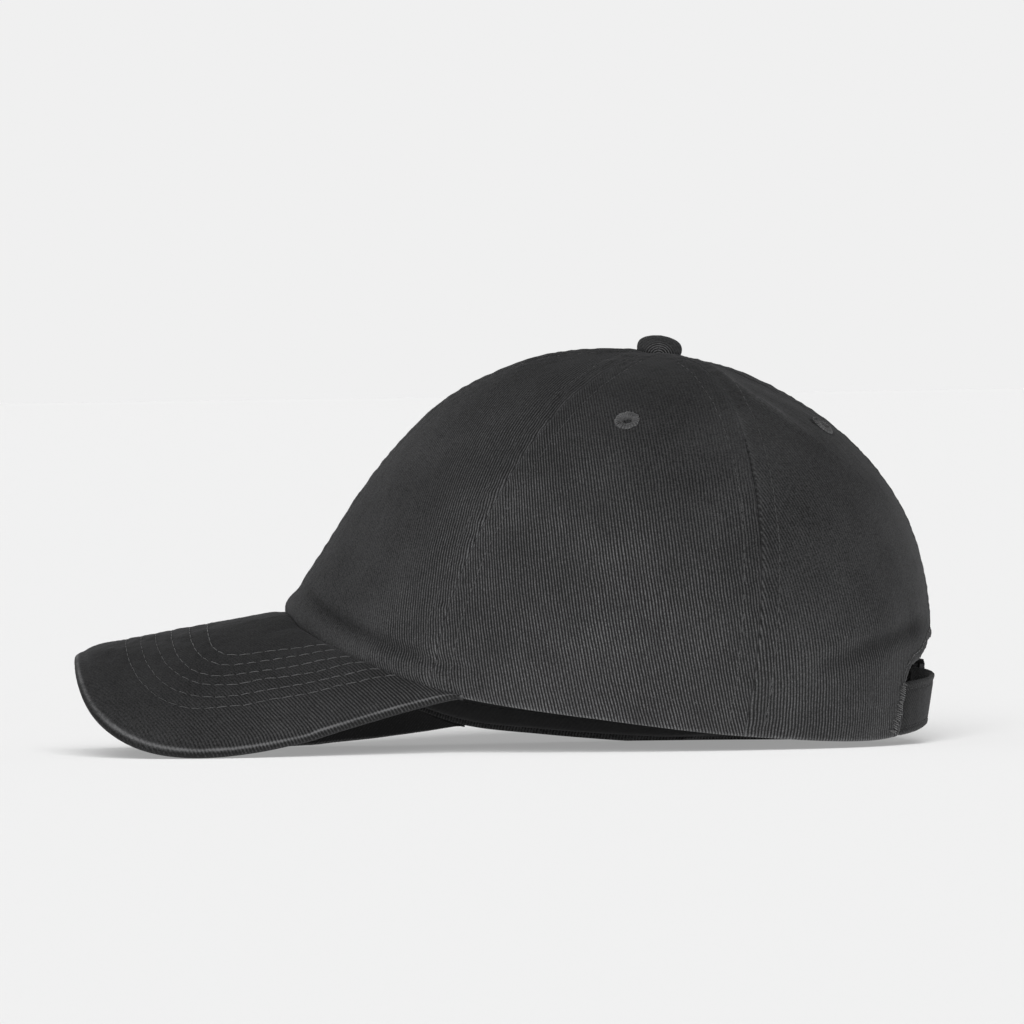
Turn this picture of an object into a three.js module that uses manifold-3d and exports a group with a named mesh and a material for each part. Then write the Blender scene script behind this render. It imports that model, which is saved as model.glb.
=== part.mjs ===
// Low-profile six-panel cotton cap with a curved peak, a covered top button,
// sewn eyelets, an inner sweatband and a rear strap with a slide buckle.
//
// Millimetres, +Z up. The peak points to -Y, the wearer's left side is +X.
// The cap stands on z = 0 on the right side of its rim and on the two low
// edges of its peak; its left side stays about 2 mm clear.
import * as THREE from 'three';
import { mergeVertices } from 'three/addons/utils/BufferGeometryUtils.js';
import Module from 'manifold-3d';

const wasm = await Module();
wasm.setup();

// ---------------------------------------------------------------- sizes, mm
const APEX_Y = 51.1;          // the six panels meet over this point
const APEX_Z = 126.3;
const MID_Z = 40;             // height of the centre that the sections turn about
const APEX_RADIUS = APEX_Z - MID_Z;
const CLOTH = 1.2;            // one panel wall: twill with its seam tape
const GAP = 0.3;              // clearance between neighbouring pieces
const TIP_HOLE = 3.4;         // radius of the hole where the panel tips meet
const PEAK_THICK = 2.8;       // covered board of the peak
const PEAK_HALF = 86.8;       // half-width of the peak, laid flat
const PEAK_LENGTH = 75.9;     // from the widest line to the front edge
const PEAK_WIDEST_Y = -61.4;
const PEAK_SQUARENESS = 3.02; // exponent of the outline's superellipse
const PEAK_BEND = 82;         // radius of the peak's cross-bend
const PEAK_CURL = 2.5;        // droop of the outer edge
const PEAK_CURL_REACH = 9;
const PEAK_CORNER = 67;       // station where the peak runs out along the rim
const BAND_HEIGHT = 30;
const BAND_THICK = 1.3;
const BAND_END = 151;         // station where the sweatband stops at the opening
const STRAP_THICK = 1.5;
const BUCKLE_THICK = 1.6;
const EYELET_RADIUS = 4.3;
const BUTTON_RADIUS = 7.3;
const OVAL = { y: 33.6, half_length: 102, half_width: 84 };  // the rim in plan

// ------------------------------------------------------------ section tables
// One row for each upright section of the crown. at: station, 0 at the centre
// of the front to 180 at the centre of the back; foot: plan direction of its
// lowest point; rim_r, rim_z: that point; s1..s7: distance from the middle
// point at eighths of the section's turn from the top down.
const SECTIONS = [
  { at: 0, foot: 0, rim_r: 121.2, rim_z: 44.0, s1: 89.2, s2: 93.0, s3: 96.2, s4: 99.7, s5: 102.0, s6: 105.3, s7: 110.9 },
  { at: 30, foot: 22, rim_r: 113.7, rim_z: 32.0, s1: 87.6, s2: 89.6, s3: 91.5, s4: 93.8, s5: 96.2, s6: 99.8, s7: 105.0 },
  { at: 60, foot: 43.3, rim_r: 102.0, rim_z: 20.2, s1: 86.2, s2: 86.3, s3: 86.9, s4: 87.9, s5: 90.0, s6: 93.6, s7: 98.6 },
  { at: 90, foot: 74, rim_r: 87.2, rim_z: 11.2, s1: 86.2, s2: 86.4, s3: 86.5, s4: 86.5, s5: 86.8, s6: 87.6, s7: 89.4 },
  { at: 120, foot: 107.7, rim_r: 80.4, rim_z: 4.7, s1: 86.0, s2: 86.2, s3: 86.5, s4: 86.5, s5: 86.6, s6: 86.9, s7: 87.6 },
  { at: 150, foot: 144.2, rim_r: 81.7, rim_z: 2.1, s1: 84.8, s2: 84.4, s3: 84.6, s4: 85.0, s5: 85.5, s6: 85.8, s7: 87.0 },
  { at: 180, foot: 180, rim_r: 84.5, rim_z: 7.2, s1: 84.2, s2: 82.9, s3: 83.0, s4: 83.9, s5: 84.8, s6: 85.0, s7: 86.4 },
];

// The right side sags lower than the left one. drop: how much, at this y.
const RIGHT_SAG = [
  { y: -90, drop: 0 }, { y: -65, drop: 3.8 }, { y: -40, drop: 8.8 }, { y: -15, drop: 11.8 },
  { y: 10, drop: 10.9 }, { y: 35, drop: 9.7 }, { y: 60, drop: 7.7 }, { y: 85, drop: 5.2 },
  { y: 110, drop: 2.7 }, { y: 135, drop: 0.2 },
];

// Line where the left half of the peak meets the crown. lift: its height
// over the plain bent surface of the peak.
const JUNCTION = [
  { y: -69, lift: -0.9 }, { y: -65.6, lift: -3.1 }, { y: -59, lift: -3.1 }, { y: -52, lift: -2.2 },
  { y: -44, lift: -1.2 }, { y: -30, lift: -0.9 }, { y: -9, lift: -0.6 },
];

// Upper edge of the opening at the back, over the strap.
const ARCH = [
  { x: -36, z: 22 }, { x: -33, z: 28 }, { x: -20, z: 32.4 }, { x: 0, z: 33.8 }, { x: 12, z: 33 },
  { x: 19, z: 30.3 }, { x: 26, z: 27.2 }, { x: 32.5, z: 25.2 }, { x: 36.5, z: 20 },
];

// Lower and upper edge of the strap.
const STRAP_EDGES = [
  { x: -45, low: 8.0, high: 26.4 }, { x: -33, low: 7.8, high: 26.2 }, { x: -27, low: 7.2, high: 25.2 }, { x: -20, low: 6.6, high: 24.0 },
  { x: 0, low: 6.4, high: 22.4 }, { x: 15, low: 5.0, high: 21.2 }, { x: 33, low: 3.3, high: 20.0 },
  { x: 45, low: 3.3, high: 19.8 },
];

// Routes of the strap's two ends through the buckle, as seen from above:
// s along the rim from the centre of the back, n outwards from the wall.
const STRAP_LEFT = [
  { s: 45.5, n: -2.5 }, { s: 41.5, n: -2.5 }, { s: 37, n: -1.7 }, { s: 31, n: -0.7 }, { s: 24, n: -0.2 }, { s: 16, n: 0 },
  { s: 8, n: 0 }, { s: 0, n: 0 }, { s: -6, n: 0 }, { s: -11, n: -0.2 }, { s: -15, n: -0.9 },
  { s: -18, n: -1.95 }, { s: -20.8, n: -1.95 }, { s: -22.5, n: 1.95 }, { s: -26.2, n: 1.95 },
  { s: -27, n: -1.6 }, { s: -27, n: -3.7 }, { s: -29, n: -4.4 }, { s: -36, n: -4.6 }, { s: -44, n: -4.7 },
];
const STRAP_RIGHT = [
  { s: -33.4, n: -2.0 }, { s: -28.8, n: -1.95 }, { s: -28.8, n: 1.95 }, { s: -33, n: 1.6 },
  { s: -36.3, n: -2.2 }, { s: -39, n: -2.5 }, { s: -45.5, n: -2.6 },
];
// Bars of the buckle, and the half-height of its window.
const BUCKLE = { from: -32.0, bar_a: -29.9, bar_b: -25.2, bar_c: -23.4, bar_d: -20.0, to: -18.0, window: 9.6, outer: 11.1 };

// Eyelets: station and section fraction on the left side, mirrored on the right.
const EYELETS = [
  { name: 'side', at: 85.9, v: 0.386 },
  { name: 'back', at: 157.4, v: 0.371 },
];

// ------------------------------------------------------------------- helpers
const rad = THREE.MathUtils.degToRad;
const smooth = (a, b, x) => THREE.MathUtils.smoothstep(x, a, b);

/** Smooth value through evenly spaced numbers, at position t. */
function spline(values, t) {
  const last = values.length - 1;
  const x = Math.min(Math.max(t, 0), last);
  const i = Math.min(Math.floor(x), last - 1);
  const f = x - i;
  const p1 = values[i], p2 = values[i + 1];
  const p0 = i > 0 ? values[i - 1] : 2 * p1 - p2;
  const p3 = i + 2 <= last ? values[i + 2] : 2 * p2 - p1;
  return p1 + 0.5 * f * (p2 - p0 + f * (2 * p0 - 5 * p1 + 4 * p2 - p3 + f * (3 * (p1 - p2) + p3 - p0)));
}

/** Straight-line value of column `value` in a table sorted by column `key`. */
function lookup(table, key, value, x) {
  if (x <= table[0][key]) return table[0][value];
  for (let i = 1; i < table.length; i += 1) {
    const a = table[i - 1], b = table[i];
    if (x <= b[key]) return a[value] + (b[value] - a[value]) * (x - a[key]) / (b[key] - a[key]);
  }
  return table[table.length - 1][value];
}

/** A column of the crown's sections at station `at`, mirrored past both ends. */
function section(column, at) {
  const wrap = SECTIONS.map((row) => column(row));
  const ends = [wrap[1], ...wrap, wrap[wrap.length - 2]];
  return spline(ends, at / 30 + 1);
}

const RIM_POLAR = (row) => Math.atan2(row.rim_r, row.rim_z - MID_Z);

function rightSag(x, y, z) {
  if (x >= 0) return 0;
  const drop = spline(RIGHT_SAG.map((row) => row.drop), (y - RIGHT_SAG[0].y) / 25);
  return drop * smooth(5, 62, -x) * (1 - smooth(16, 112, z));
}

/** Outer face of the crown. u: -180..180, v: 0 at the top to 1 at the rim. */
function crown(u, v) {
  const at = Math.abs(u);
  const turn = section(RIM_POLAR, at) * v;
  const radii = ['apex', 's1', 's2', 's3', 's4', 's5', 's6', 's7', 'rim'].map((name) => {
    if (name === 'apex') return APEX_RADIUS;
    if (name === 'rim') return section((row) => Math.hypot(row.rim_r, row.rim_z - MID_Z), at);
    return section((row) => row[name], at);
  });
  const reach = spline(radii, v * 8);
  const foot = THREE.MathUtils.lerp(at, footDirection(at), v ** 0.9);
  const r = reach * Math.sin(turn);
  const x = r * Math.sin(rad(foot)) * Math.sign(u || 1);
  const y = APEX_Y - r * Math.cos(rad(foot));
  let z = MID_Z + reach * Math.cos(turn);
  z -= rightSag(x, y, z);
  return new THREE.Vector3(x, y, Math.max(z, 0));
}

/** Plan direction of a section's foot: odd about both ends of the table. */
function footDirection(at) {
  const f = SECTIONS.map((row) => row.foot);
  return spline([-f[1], ...f, 360 - f[f.length - 2]], at / 30 + 1);
}

/** Outward direction of the crown's outer face. */
function crownNormal(u, v) {
  const du = 0.4, dv = 0.004;
  const v0 = Math.max(v - dv, 0.012), v1 = Math.min(v + dv, 0.995);
  const a = crown(u + du, (v0 + v1) / 2).sub(crown(u - du, (v0 + v1) / 2));
  const b = crown(u, v1).sub(crown(u, v0));
  const n = a.cross(b).normalize();
  const out = crown(u, v).sub(new THREE.Vector3(0, APEX_Y * 0.8, MID_Z));
  return n.dot(out) < 0 ? n.negate() : n;
}

/** Point at `depth` inside the crown's outer face. At the rim the wall's lower face is level. */
function wall(u, v, depth) {
  const p = crown(u, v);
  const n = crownNormal(u, v);
  if (v > 0.999) {
    n.z = 0;
    n.normalize();
  }
  return p.addScaledVector(n, -depth);
}

/** Closed solid between two grids of points of the same size, [row][column]. */
function slab(top, bottom) {
  const rows = top.length, cols = top[0].length;
  const position = [];
  for (const grid of [top, bottom]) for (const row of grid) for (const p of row) position.push(p.x, p.y, p.z);
  const id = (side, i, j) => side * rows * cols + i * cols + j;
  const index = [];
  const quad = (a, b, c, d) => index.push(a, b, c, a, c, d);
  for (let i = 0; i < rows - 1; i += 1) {
    for (let j = 0; j < cols - 1; j += 1) {
      quad(id(0, i, j), id(0, i + 1, j), id(0, i + 1, j + 1), id(0, i, j + 1));
      quad(id(1, i, j), id(1, i, j + 1), id(1, i + 1, j + 1), id(1, i + 1, j));
    }
  }
  for (let j = 0; j < cols - 1; j += 1) {
    quad(id(0, 0, j), id(0, 0, j + 1), id(1, 0, j + 1), id(1, 0, j));
    quad(id(0, rows - 1, j + 1), id(0, rows - 1, j), id(1, rows - 1, j), id(1, rows - 1, j + 1));
  }
  for (let i = 0; i < rows - 1; i += 1) {
    quad(id(0, i + 1, 0), id(0, i, 0), id(1, i, 0), id(1, i + 1, 0));
    quad(id(0, i, cols - 1), id(0, i + 1, cols - 1), id(1, i + 1, cols - 1), id(1, i, cols - 1));
  }
  return closed(position, index);
}

/** Indexed geometry whose faces point out, whichever way they were listed. */
function closed(position, index) {
  let volume = 0;
  const p = (i) => new THREE.Vector3().fromArray(position, index[i] * 3);
  for (let i = 0; i < index.length; i += 3) volume += p(i).dot(p(i + 1).cross(p(i + 2)));
  if (volume < 0) {
    for (let i = 0; i < index.length; i += 3) [index[i + 1], index[i + 2]] = [index[i + 2], index[i + 1]];
  }
  const geometry = new THREE.BufferGeometry();
  geometry.setAttribute('position', new THREE.Float32BufferAttribute(position, 3));
  geometry.setIndex(index);
  geometry.computeVertexNormals();
  return geometry;
}

function toSolid(geometry) {
  const bare = geometry.clone();
  bare.deleteAttribute('normal');
  bare.deleteAttribute('uv');
  const merged = mergeVertices(bare, 1e-4);
  return new wasm.Manifold(new wasm.Mesh({
    numProp: 3,
    vertProperties: new Float32Array(merged.attributes.position.array),
    triVerts: new Uint32Array(merged.index.array),
  }));
}

function toGeometry(solid) {
  const mesh = solid.getMesh();
  const position = [];
  for (let i = 0; i < mesh.vertProperties.length; i += mesh.numProp) {
    position.push(mesh.vertProperties[i], mesh.vertProperties[i + 1], mesh.vertProperties[i + 2]);
  }
  return closed(position, Array.from(mesh.triVerts));
}

// -------------------------------------------------------------------- crown
const PANEL_ROWS = 15;
const PANEL_COLUMNS = 8;

/** One sewn gore of the crown between stations u0 and u1. */
function panel(u0, u1) {
  const grid = (depth) => {
    const rows = [];
    for (let i = 0; i <= PANEL_ROWS; i += 1) {
      const row = [];
      for (let j = 0; j <= PANEL_COLUMNS; j += 1) {
        const f = j / PANEL_COLUMNS;
        const mid = THREE.MathUtils.lerp(u0, u1, f);
        const polar = section(RIM_POLAR, Math.abs(mid));
        const v0 = Math.asin(TIP_HOLE / APEX_RADIUS) / polar;
        const v = v0 + (1 - v0) * (i / PANEL_ROWS);
        const r = APEX_RADIUS * Math.sin(Math.min(polar * v, Math.PI / 2));
        const inset = THREE.MathUtils.radToDeg(GAP * 0.62 / Math.max(r, TIP_HOLE)) * (1 - 2 * f) * Math.sign(u1 - u0);
        row.push(wall(mid + inset, v, depth));
      }
      rows.push(row);
    }
    return rows;
  };
  return slab(grid(0), grid(CLOTH));
}

/** Prism that opens the back over the strap. */
function archCutter() {
  const shape = new THREE.Shape();
  shape.moveTo(ARCH[0].x, -12);
  shape.lineTo(ARCH[0].x, ARCH[0].z);
  shape.splineThru(ARCH.slice(1).map((row) => new THREE.Vector2(row.x, row.z)));
  shape.lineTo(ARCH[ARCH.length - 1].x, -12);
  shape.closePath();
  const prism = new THREE.ExtrudeGeometry(shape, { depth: 60, bevelEnabled: false, curveSegments: 12 });
  prism.rotateX(Math.PI / 2);
  prism.translate(0, 165, 0);
  return toSolid(prism);
}

/** Places a piece built about +Z on the crown's outer face. */
function onCrown(geometry, u, v) {
  const turn = new THREE.Quaternion().setFromUnitVectors(new THREE.Vector3(0, 0, 1), crownNormal(u, v));
  return geometry.applyQuaternion(turn).translate(...crown(u, v).toArray());
}

/** Closed ring or disc of revolution about +Z from rows of radius r and height z. */
function turned(rows, sides) {
  const lathe = new THREE.LatheGeometry(rows.map((row) => new THREE.Vector2(row.r, row.z)), sides);
  lathe.rotateX(Math.PI / 2);
  return lathe;
}

const EYELET_PROFILE = [
  { r: 1.5, z: -1.7 }, { r: 2.3, z: -1.7 }, { r: 2.3, z: 0.35 }, { r: 4.1, z: 0.35 },
  { r: EYELET_RADIUS, z: 0.65 }, { r: 3.6, z: 1.05 }, { r: 2.3, z: 1.15 }, { r: 1.7, z: 0.9 },
  { r: 1.5, z: 0.4 }, { r: 1.5, z: -1.7 },
];
const EYELET_HOLE = [{ r: 0, z: -4 }, { r: 2.65, z: -4 }, { r: 2.65, z: 4 }, { r: 0, z: 4 }];

const eyelets = [];
for (const row of EYELETS) {
  eyelets.push({ name: `eyelet_${row.name}_left`, u: row.at, v: row.v });
  eyelets.push({ name: `eyelet_${row.name}_right`, u: -row.at, v: row.v });
}

const PANELS = [
  { name: 'front_panel_left', from: 0, to: 60 },
  { name: 'side_panel_left', from: 60, to: 120 },
  { name: 'back_panel_left', from: 120, to: 180 },
  { name: 'front_panel_right', from: 0, to: -60 },
  { name: 'side_panel_right', from: -60, to: -120 },
  { name: 'back_panel_right', from: -120, to: -180 },
];

const pieces = [];
const arch = archCutter();
for (const row of PANELS) {
  let solid = toSolid(panel(row.from, row.to));
  for (const hole of eyelets) {
    const inside = Math.min(row.from, row.to) < hole.u && hole.u < Math.max(row.from, row.to);
    if (inside) solid = solid.subtract(toSolid(onCrown(turned(EYELET_HOLE, 12), hole.u, hole.v)));
  }
  if (row.name.startsWith('back')) solid = solid.subtract(arch);
  pieces.push({ name: row.name, geometry: toGeometry(solid), colour: 0x3b3b3c, roughness: 0.95 });
}
for (const hole of eyelets) {
  pieces.push({
    name: hole.name, geometry: onCrown(turned(EYELET_PROFILE, 14), hole.u, hole.v), colour: 0x565657, roughness: 0.8,
  });
}

// ------------------------------------------------------------------- button
const BUTTON_PROFILE = [
  { r: 0, z: -3.4 }, { r: 4.6, z: -3.4 }, { r: 4.6, z: -2.3 }, { r: 2.7, z: -2.1 }, { r: 2.7, z: 0.7 },
  { r: 5.9, z: 0.8 }, { r: 6.9, z: 1.3 }, { r: BUTTON_RADIUS, z: 2.3 }, { r: 6.8, z: 3.6 },
  { r: 5.4, z: 4.6 }, { r: 3.2, z: 5.2 }, { r: 0, z: 5.4 },
];
const button = turned(BUTTON_PROFILE, 18);
button.rotateX(rad(-7));
button.translate(0, APEX_Y, APEX_Z - 0.25);
pieces.push({ name: 'button', geometry: button, colour: 0x3a3a3b, roughness: 0.92 });

// --------------------------------------------------------------------- peak
/** Height of the peak's plain bent upper face. */
function peakHeight(x, y) {
  const bend = PEAK_BEND + 0.3 * Math.max(0, y - PEAK_WIDEST_Y);
  const ridge = 46.4 + 0.185 * (y + 70.1);
  return ridge - (bend - Math.sqrt(Math.max(bend * bend - x * x, 0)));
}

/** Outline of the left half of the peak, from the front (t = 0) to its corner (t = 1). */
function peakOutline(t, corner) {
  const turnShare = 0.7;
  if (t <= turnShare) {
    const angle = (Math.PI / 2) * (t / turnShare);
    const sin = Math.sin(angle), cos = Math.max(Math.cos(angle), 0);
    const reach = (sin ** PEAK_SQUARENESS + cos ** PEAK_SQUARENESS) ** (-1 / PEAK_SQUARENESS);
    const flat = PEAK_HALF * reach * sin;
    const y = PEAK_WIDEST_Y - PEAK_LENGTH * reach * cos;
    return { x: PEAK_BEND * Math.sin(flat / PEAK_BEND), y, flat };
  }
  const f = (t - turnShare) / (1 - turnShare);
  const start = PEAK_BEND * Math.sin(PEAK_HALF / PEAK_BEND);
  return {
    x: THREE.MathUtils.lerp(start, corner.x + 0.6, f),
    y: THREE.MathUtils.lerp(PEAK_WIDEST_Y, corner.y - 1.6, f),
    flat: PEAK_HALF,
  };
}

const PEAK_STEPS = [0, 0.14, 0.28, 0.42, 0.56, 0.68, 0.78, 0.86, 0.93, 1];

function peak() {
  const half = 22;
  const top = [];
  const cornerPoint = crown(PEAK_CORNER, 1);
  for (let i = -half; i <= half; i += 1) {
    const side = Math.sign(i) || 1;
    const share = Math.abs(i) / half;
    const u = PEAK_CORNER * share * side;
    const root = crown(u, 1);
    const away = crownNormal(u, 0.99);
    away.z = 0;
    away.normalize();
    root.addScaledVector(away, 2 * GAP);
    const edge = peakOutline(share, cornerPoint);
    const row = [];
    for (const b of PEAK_STEPS) {
      const x = THREE.MathUtils.lerp(root.x, edge.x * side, b);
      const y = THREE.MathUtils.lerp(root.y, edge.y, b);
      const length = Math.hypot(root.x - edge.x * side, root.y - edge.y);
      const lift = lookup(JUNCTION, 'y', 'lift', root.y) * (1 - b) ** 2;
      const near = THREE.MathUtils.clamp(1 - (1 - b) * length / PEAK_CURL_REACH, 0, 1);
      const curl = PEAK_CURL * Math.max(0, 1 - (edge.flat / PEAK_HALF) ** 4) * near * near;
      const z = peakHeight(x, y) + lift - curl;
      row.push(new THREE.Vector3(x, y, z - rightSag(x, y, z)));
    }
    top.push(row);
  }
  const bottom = top.map((row, i) => row.map((p, j) => {
    const a = top[Math.min(i + 1, top.length - 1)][j].clone().sub(top[Math.max(i - 1, 0)][j]);
    const b = row[Math.min(j + 1, row.length - 1)].clone().sub(row[Math.max(j - 1, 0)]);
    const n = a.cross(b).normalize();
    if (n.z < 0) n.negate();
    const under = p.clone().addScaledVector(n, -PEAK_THICK);
    if (j === 0) {
      // the root's face stands upright beside the crown's wall
      under.x = p.x;
      under.y = p.y;
    }
    under.z = Math.max(under.z, 0);
    return under;
  }));
  return slab(top, bottom);
}
pieces.push({ name: 'peak', geometry: peak(), colour: 0x363637, roughness: 0.95 });

// ---------------------------------------------------------------- sweatband
function sweatband() {
  const columns = 56, rows = 3;
  const grid = (depth) => {
    const out = [];
    for (let i = 0; i <= rows; i += 1) {
      const row = [];
      for (let j = 0; j <= columns; j += 1) {
        const u = THREE.MathUtils.lerp(-BAND_END, BAND_END, j / columns);
        const low = 0.992, high = 0.992 - BAND_HEIGHT / 160;
        row.push(wall(u, THREE.MathUtils.lerp(low, high, i / rows), depth));
      }
      out.push(row);
    }
    return out;
  };
  return slab(grid(CLOTH + 2 * GAP), grid(CLOTH + 2 * GAP + BAND_THICK));
}
pieces.push({ name: 'sweatband', geometry: sweatband(), colour: 0x232324, roughness: 0.97 });

// -------------------------------------------------------------------- strap
/** Point of the rim's oval at arc length s from the centre of the back, with its outward direction. */
function rimAt(s) {
  const steps = 64;
  let angle = 0;
  for (let i = 0; i < steps; i += 1) {
    const speed = Math.hypot(OVAL.half_width * Math.cos(angle), OVAL.half_length * Math.sin(angle));
    angle += s / steps / speed;
  }
  const x = OVAL.half_width * Math.sin(angle);
  const y = OVAL.y + OVAL.half_length * Math.cos(angle);
  const out = new THREE.Vector2(x / OVAL.half_width ** 2, (y - OVAL.y) / OVAL.half_length ** 2).normalize();
  return { x, y, out };
}

/** Point of the strap's space: s along the rim, n outwards, h from the strap's middle line. */
function strapPoint(s, n, h) {
  const rim = rimAt(s);
  const low = lookup(STRAP_EDGES, 'x', 'low', rim.x), high = lookup(STRAP_EDGES, 'x', 'high', rim.x);
  const z = (low + high) / 2 + h;
  const lean = 0.16 * (z - 11) * Math.max(0, 1 - (s / 34) ** 2);
  const away = n + lean - 0.45;
  return new THREE.Vector3(rim.x + rim.out.x * away, rim.y + rim.out.y * away, z);
}

/** Flat band of cloth that follows a route given in s and n. */
function band(route) {
  const top = [], bottom = [];
  for (let i = 0; i < route.length; i += 1) {
    const here = route[i], before = route[Math.max(i - 1, 0)], after = route[Math.min(i + 1, route.length - 1)];
    const d1 = new THREE.Vector2(here.s - before.s, here.n - before.n);
    const d2 = new THREE.Vector2(after.s - here.s, after.n - here.n);
    if (i === 0) d1.copy(d2);
    if (i === route.length - 1) d2.copy(d1);
    d1.normalize();
    d2.normalize();
    const along = d1.clone().add(d2).normalize();
    const side = new THREE.Vector2(-along.y, along.x);
    const mitre = STRAP_THICK / 2 / Math.max(0.72, side.dot(new THREE.Vector2(-d1.y, d1.x)));
    const x = rimAt(here.s).x;
    const half = (lookup(STRAP_EDGES, 'x', 'high', x) - lookup(STRAP_EDGES, 'x', 'low', x)) / 2;
    const row = (sign) => [-half, 0, half].map((h) => (
      strapPoint(here.s + sign * side.x * mitre, here.n + sign * side.y * mitre, h)));
    top.push(row(1));
    bottom.push(row(-1));
  }
  return slab(top, bottom);
}
pieces.push({ name: 'strap_left', geometry: band(STRAP_LEFT), colour: 0x383839, roughness: 0.95 });
pieces.push({ name: 'strap_right', geometry: band(STRAP_RIGHT), colour: 0x383839, roughness: 0.95 });

/** Slide buckle: a frame with a middle bar, bent to the strap's curve. */
function buckle() {
  const { from, bar_a, bar_b, bar_c, bar_d, to, window, outer } = BUCKLE;
  const shape = new THREE.Shape();
  const cut = 1.4;
  shape.moveTo(from + cut, -outer);
  shape.lineTo(to - cut, -outer);
  shape.lineTo(to, -outer + cut);
  shape.lineTo(to, outer - cut);
  shape.lineTo(to - cut, outer);
  shape.lineTo(from + cut, outer);
  shape.lineTo(from, outer - cut);
  shape.lineTo(from, -outer + cut);
  shape.closePath();
  let plate = toSolid(new THREE.ExtrudeGeometry(shape, { depth: BUCKLE_THICK, bevelEnabled: false }));
  for (const [a, b] of [[bar_a, bar_b], [bar_c, bar_d]]) {
    const slot = new THREE.BoxGeometry(b - a, 2 * window, 4 * BUCKLE_THICK);
    plate = plate.subtract(toSolid(slot.translate((a + b) / 2, 0, 0)));
  }
  const mesh = plate.getMesh();
  const position = [];
  for (let i = 0; i < mesh.vertProperties.length; i += mesh.numProp) {
    const [s, h, n] = mesh.vertProperties.slice(i, i + 3);
    position.push(...strapPoint(s, n - BUCKLE_THICK / 2, h).toArray());
  }
  return closed(position, Array.from(mesh.triVerts));
}
pieces.push({ name: 'buckle', geometry: buckle(), colour: 0x3c3c3e, roughness: 0.45, metalness: 0.8 });

// ----------------------------------------------------------------- assembly
const cap = new THREE.Group();
for (const piece of pieces) {
  const material = new THREE.MeshStandardMaterial({
    color: piece.colour, roughness: piece.roughness, metalness: piece.metalness ?? 0,
  });
  const mesh = new THREE.Mesh(piece.geometry, material);
  mesh.name = piece.name;
  cap.add(mesh);
}

export default cap;
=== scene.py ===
"""Looks of the washed cotton cap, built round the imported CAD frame. Metres in Blender, millimetres in the tables here."""
import math

import bpy
import numpy as np
from mathutils import Matrix, Vector


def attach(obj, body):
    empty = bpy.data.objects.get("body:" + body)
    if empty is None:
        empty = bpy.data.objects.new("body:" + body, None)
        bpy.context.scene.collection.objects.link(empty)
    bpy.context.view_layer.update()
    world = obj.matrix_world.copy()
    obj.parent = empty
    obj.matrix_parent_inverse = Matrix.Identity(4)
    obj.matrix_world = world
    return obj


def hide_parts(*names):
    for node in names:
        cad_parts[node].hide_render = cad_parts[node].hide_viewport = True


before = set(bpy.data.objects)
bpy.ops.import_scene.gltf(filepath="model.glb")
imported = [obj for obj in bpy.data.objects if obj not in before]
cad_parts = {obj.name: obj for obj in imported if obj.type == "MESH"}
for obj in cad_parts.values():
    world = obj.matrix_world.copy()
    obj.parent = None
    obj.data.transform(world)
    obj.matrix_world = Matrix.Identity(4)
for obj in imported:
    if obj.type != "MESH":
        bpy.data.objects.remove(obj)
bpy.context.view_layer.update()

# ------------------------------------------------------------------ sizes, mm
APEX_Y, APEX_Z, MID_Z = 51.1, 126.3, 40.0
APEX_RADIUS = APEX_Z - MID_Z
CLOTH, GAP, TIP_HOLE = 1.2, 0.3, 3.4
PEAK_THICK, PEAK_HALF, PEAK_LENGTH, PEAK_WIDEST_Y = 2.8, 86.8, 75.9, -61.4
PEAK_SQUARENESS, PEAK_BEND, PEAK_CURL, PEAK_CURL_REACH, PEAK_CORNER = 3.02, 82.0, 2.5, 9.0, 67.0
BAND_HEIGHT, BAND_THICK, BAND_END = 30.0, 1.3, 151.0
STRAP_THICK = 1.5
OVAL = {"y": 33.6, "half_length": 102.0, "half_width": 84.0}

# foot direction, rim radius, rim height, then the distances from the middle point
SECTIONS = np.array([
    # foot, rim_r, rim_z, s1, s2, s3, s4, s5, s6, s7
    [0, 121.2, 44.0, 89.2, 93.0, 96.2, 99.7, 102.0, 105.3, 110.9],
    [22, 113.7, 32.0, 87.6, 89.6, 91.5, 93.8, 96.2, 99.8, 105.0],
    [43.3, 102.0, 20.2, 86.2, 86.3, 86.9, 87.9, 90.0, 93.6, 98.6],
    [74, 87.2, 11.2, 86.2, 86.4, 86.5, 86.5, 86.8, 87.6, 89.4],
    [107.7, 80.4, 4.7, 86.0, 86.2, 86.5, 86.5, 86.6, 86.9, 87.6],
    [144.2, 81.7, 2.1, 84.8, 84.4, 84.6, 85.0, 85.5, 85.8, 87.0],
    [180, 84.5, 7.2, 84.2, 82.9, 83.0, 83.9, 84.8, 85.0, 86.4],
])
RIGHT_SAG = [0, 3.8, 8.8, 11.8, 10.9, 9.7, 7.7, 5.2, 2.7, 0.2]          # every 25 mm from y = -90
JUNCTION = {"y": [-69, -65.6, -59, -52, -44, -30, -9], "lift": [-0.9, -3.1, -3.1, -2.2, -1.2, -0.9, -0.6]}
ARCH = [(-36, 22), (-33, 28), (-20, 32.4), (0, 33.8), (12, 33), (19, 30.3), (26, 27.2), (32.5, 25.2), (36.5, 20)]
STRAP_EDGES = {"x": [-45, -33, -27, -20, 0, 15, 33, 45], "low": [8.0, 7.8, 7.2, 6.6, 6.4, 5.0, 3.3, 3.3],
               "high": [26.4, 26.2, 25.2, 24.0, 22.4, 21.2, 20.0, 19.8]}
STRAP_LEFT = [(45.5, -2.5), (41.5, -2.5), (37, -1.7), (31, -0.7), (24, -0.2), (16, 0), (8, 0), (0, 0), (-6, 0), (-11, -0.2),
              (-15, -0.9), (-18, -1.95), (-20.8, -1.95), (-22.5, 1.95), (-26.2, 1.95), (-27, -1.6), (-27, -3.7),
              (-29, -4.4), (-36, -4.6), (-44, -4.7)]
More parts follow.
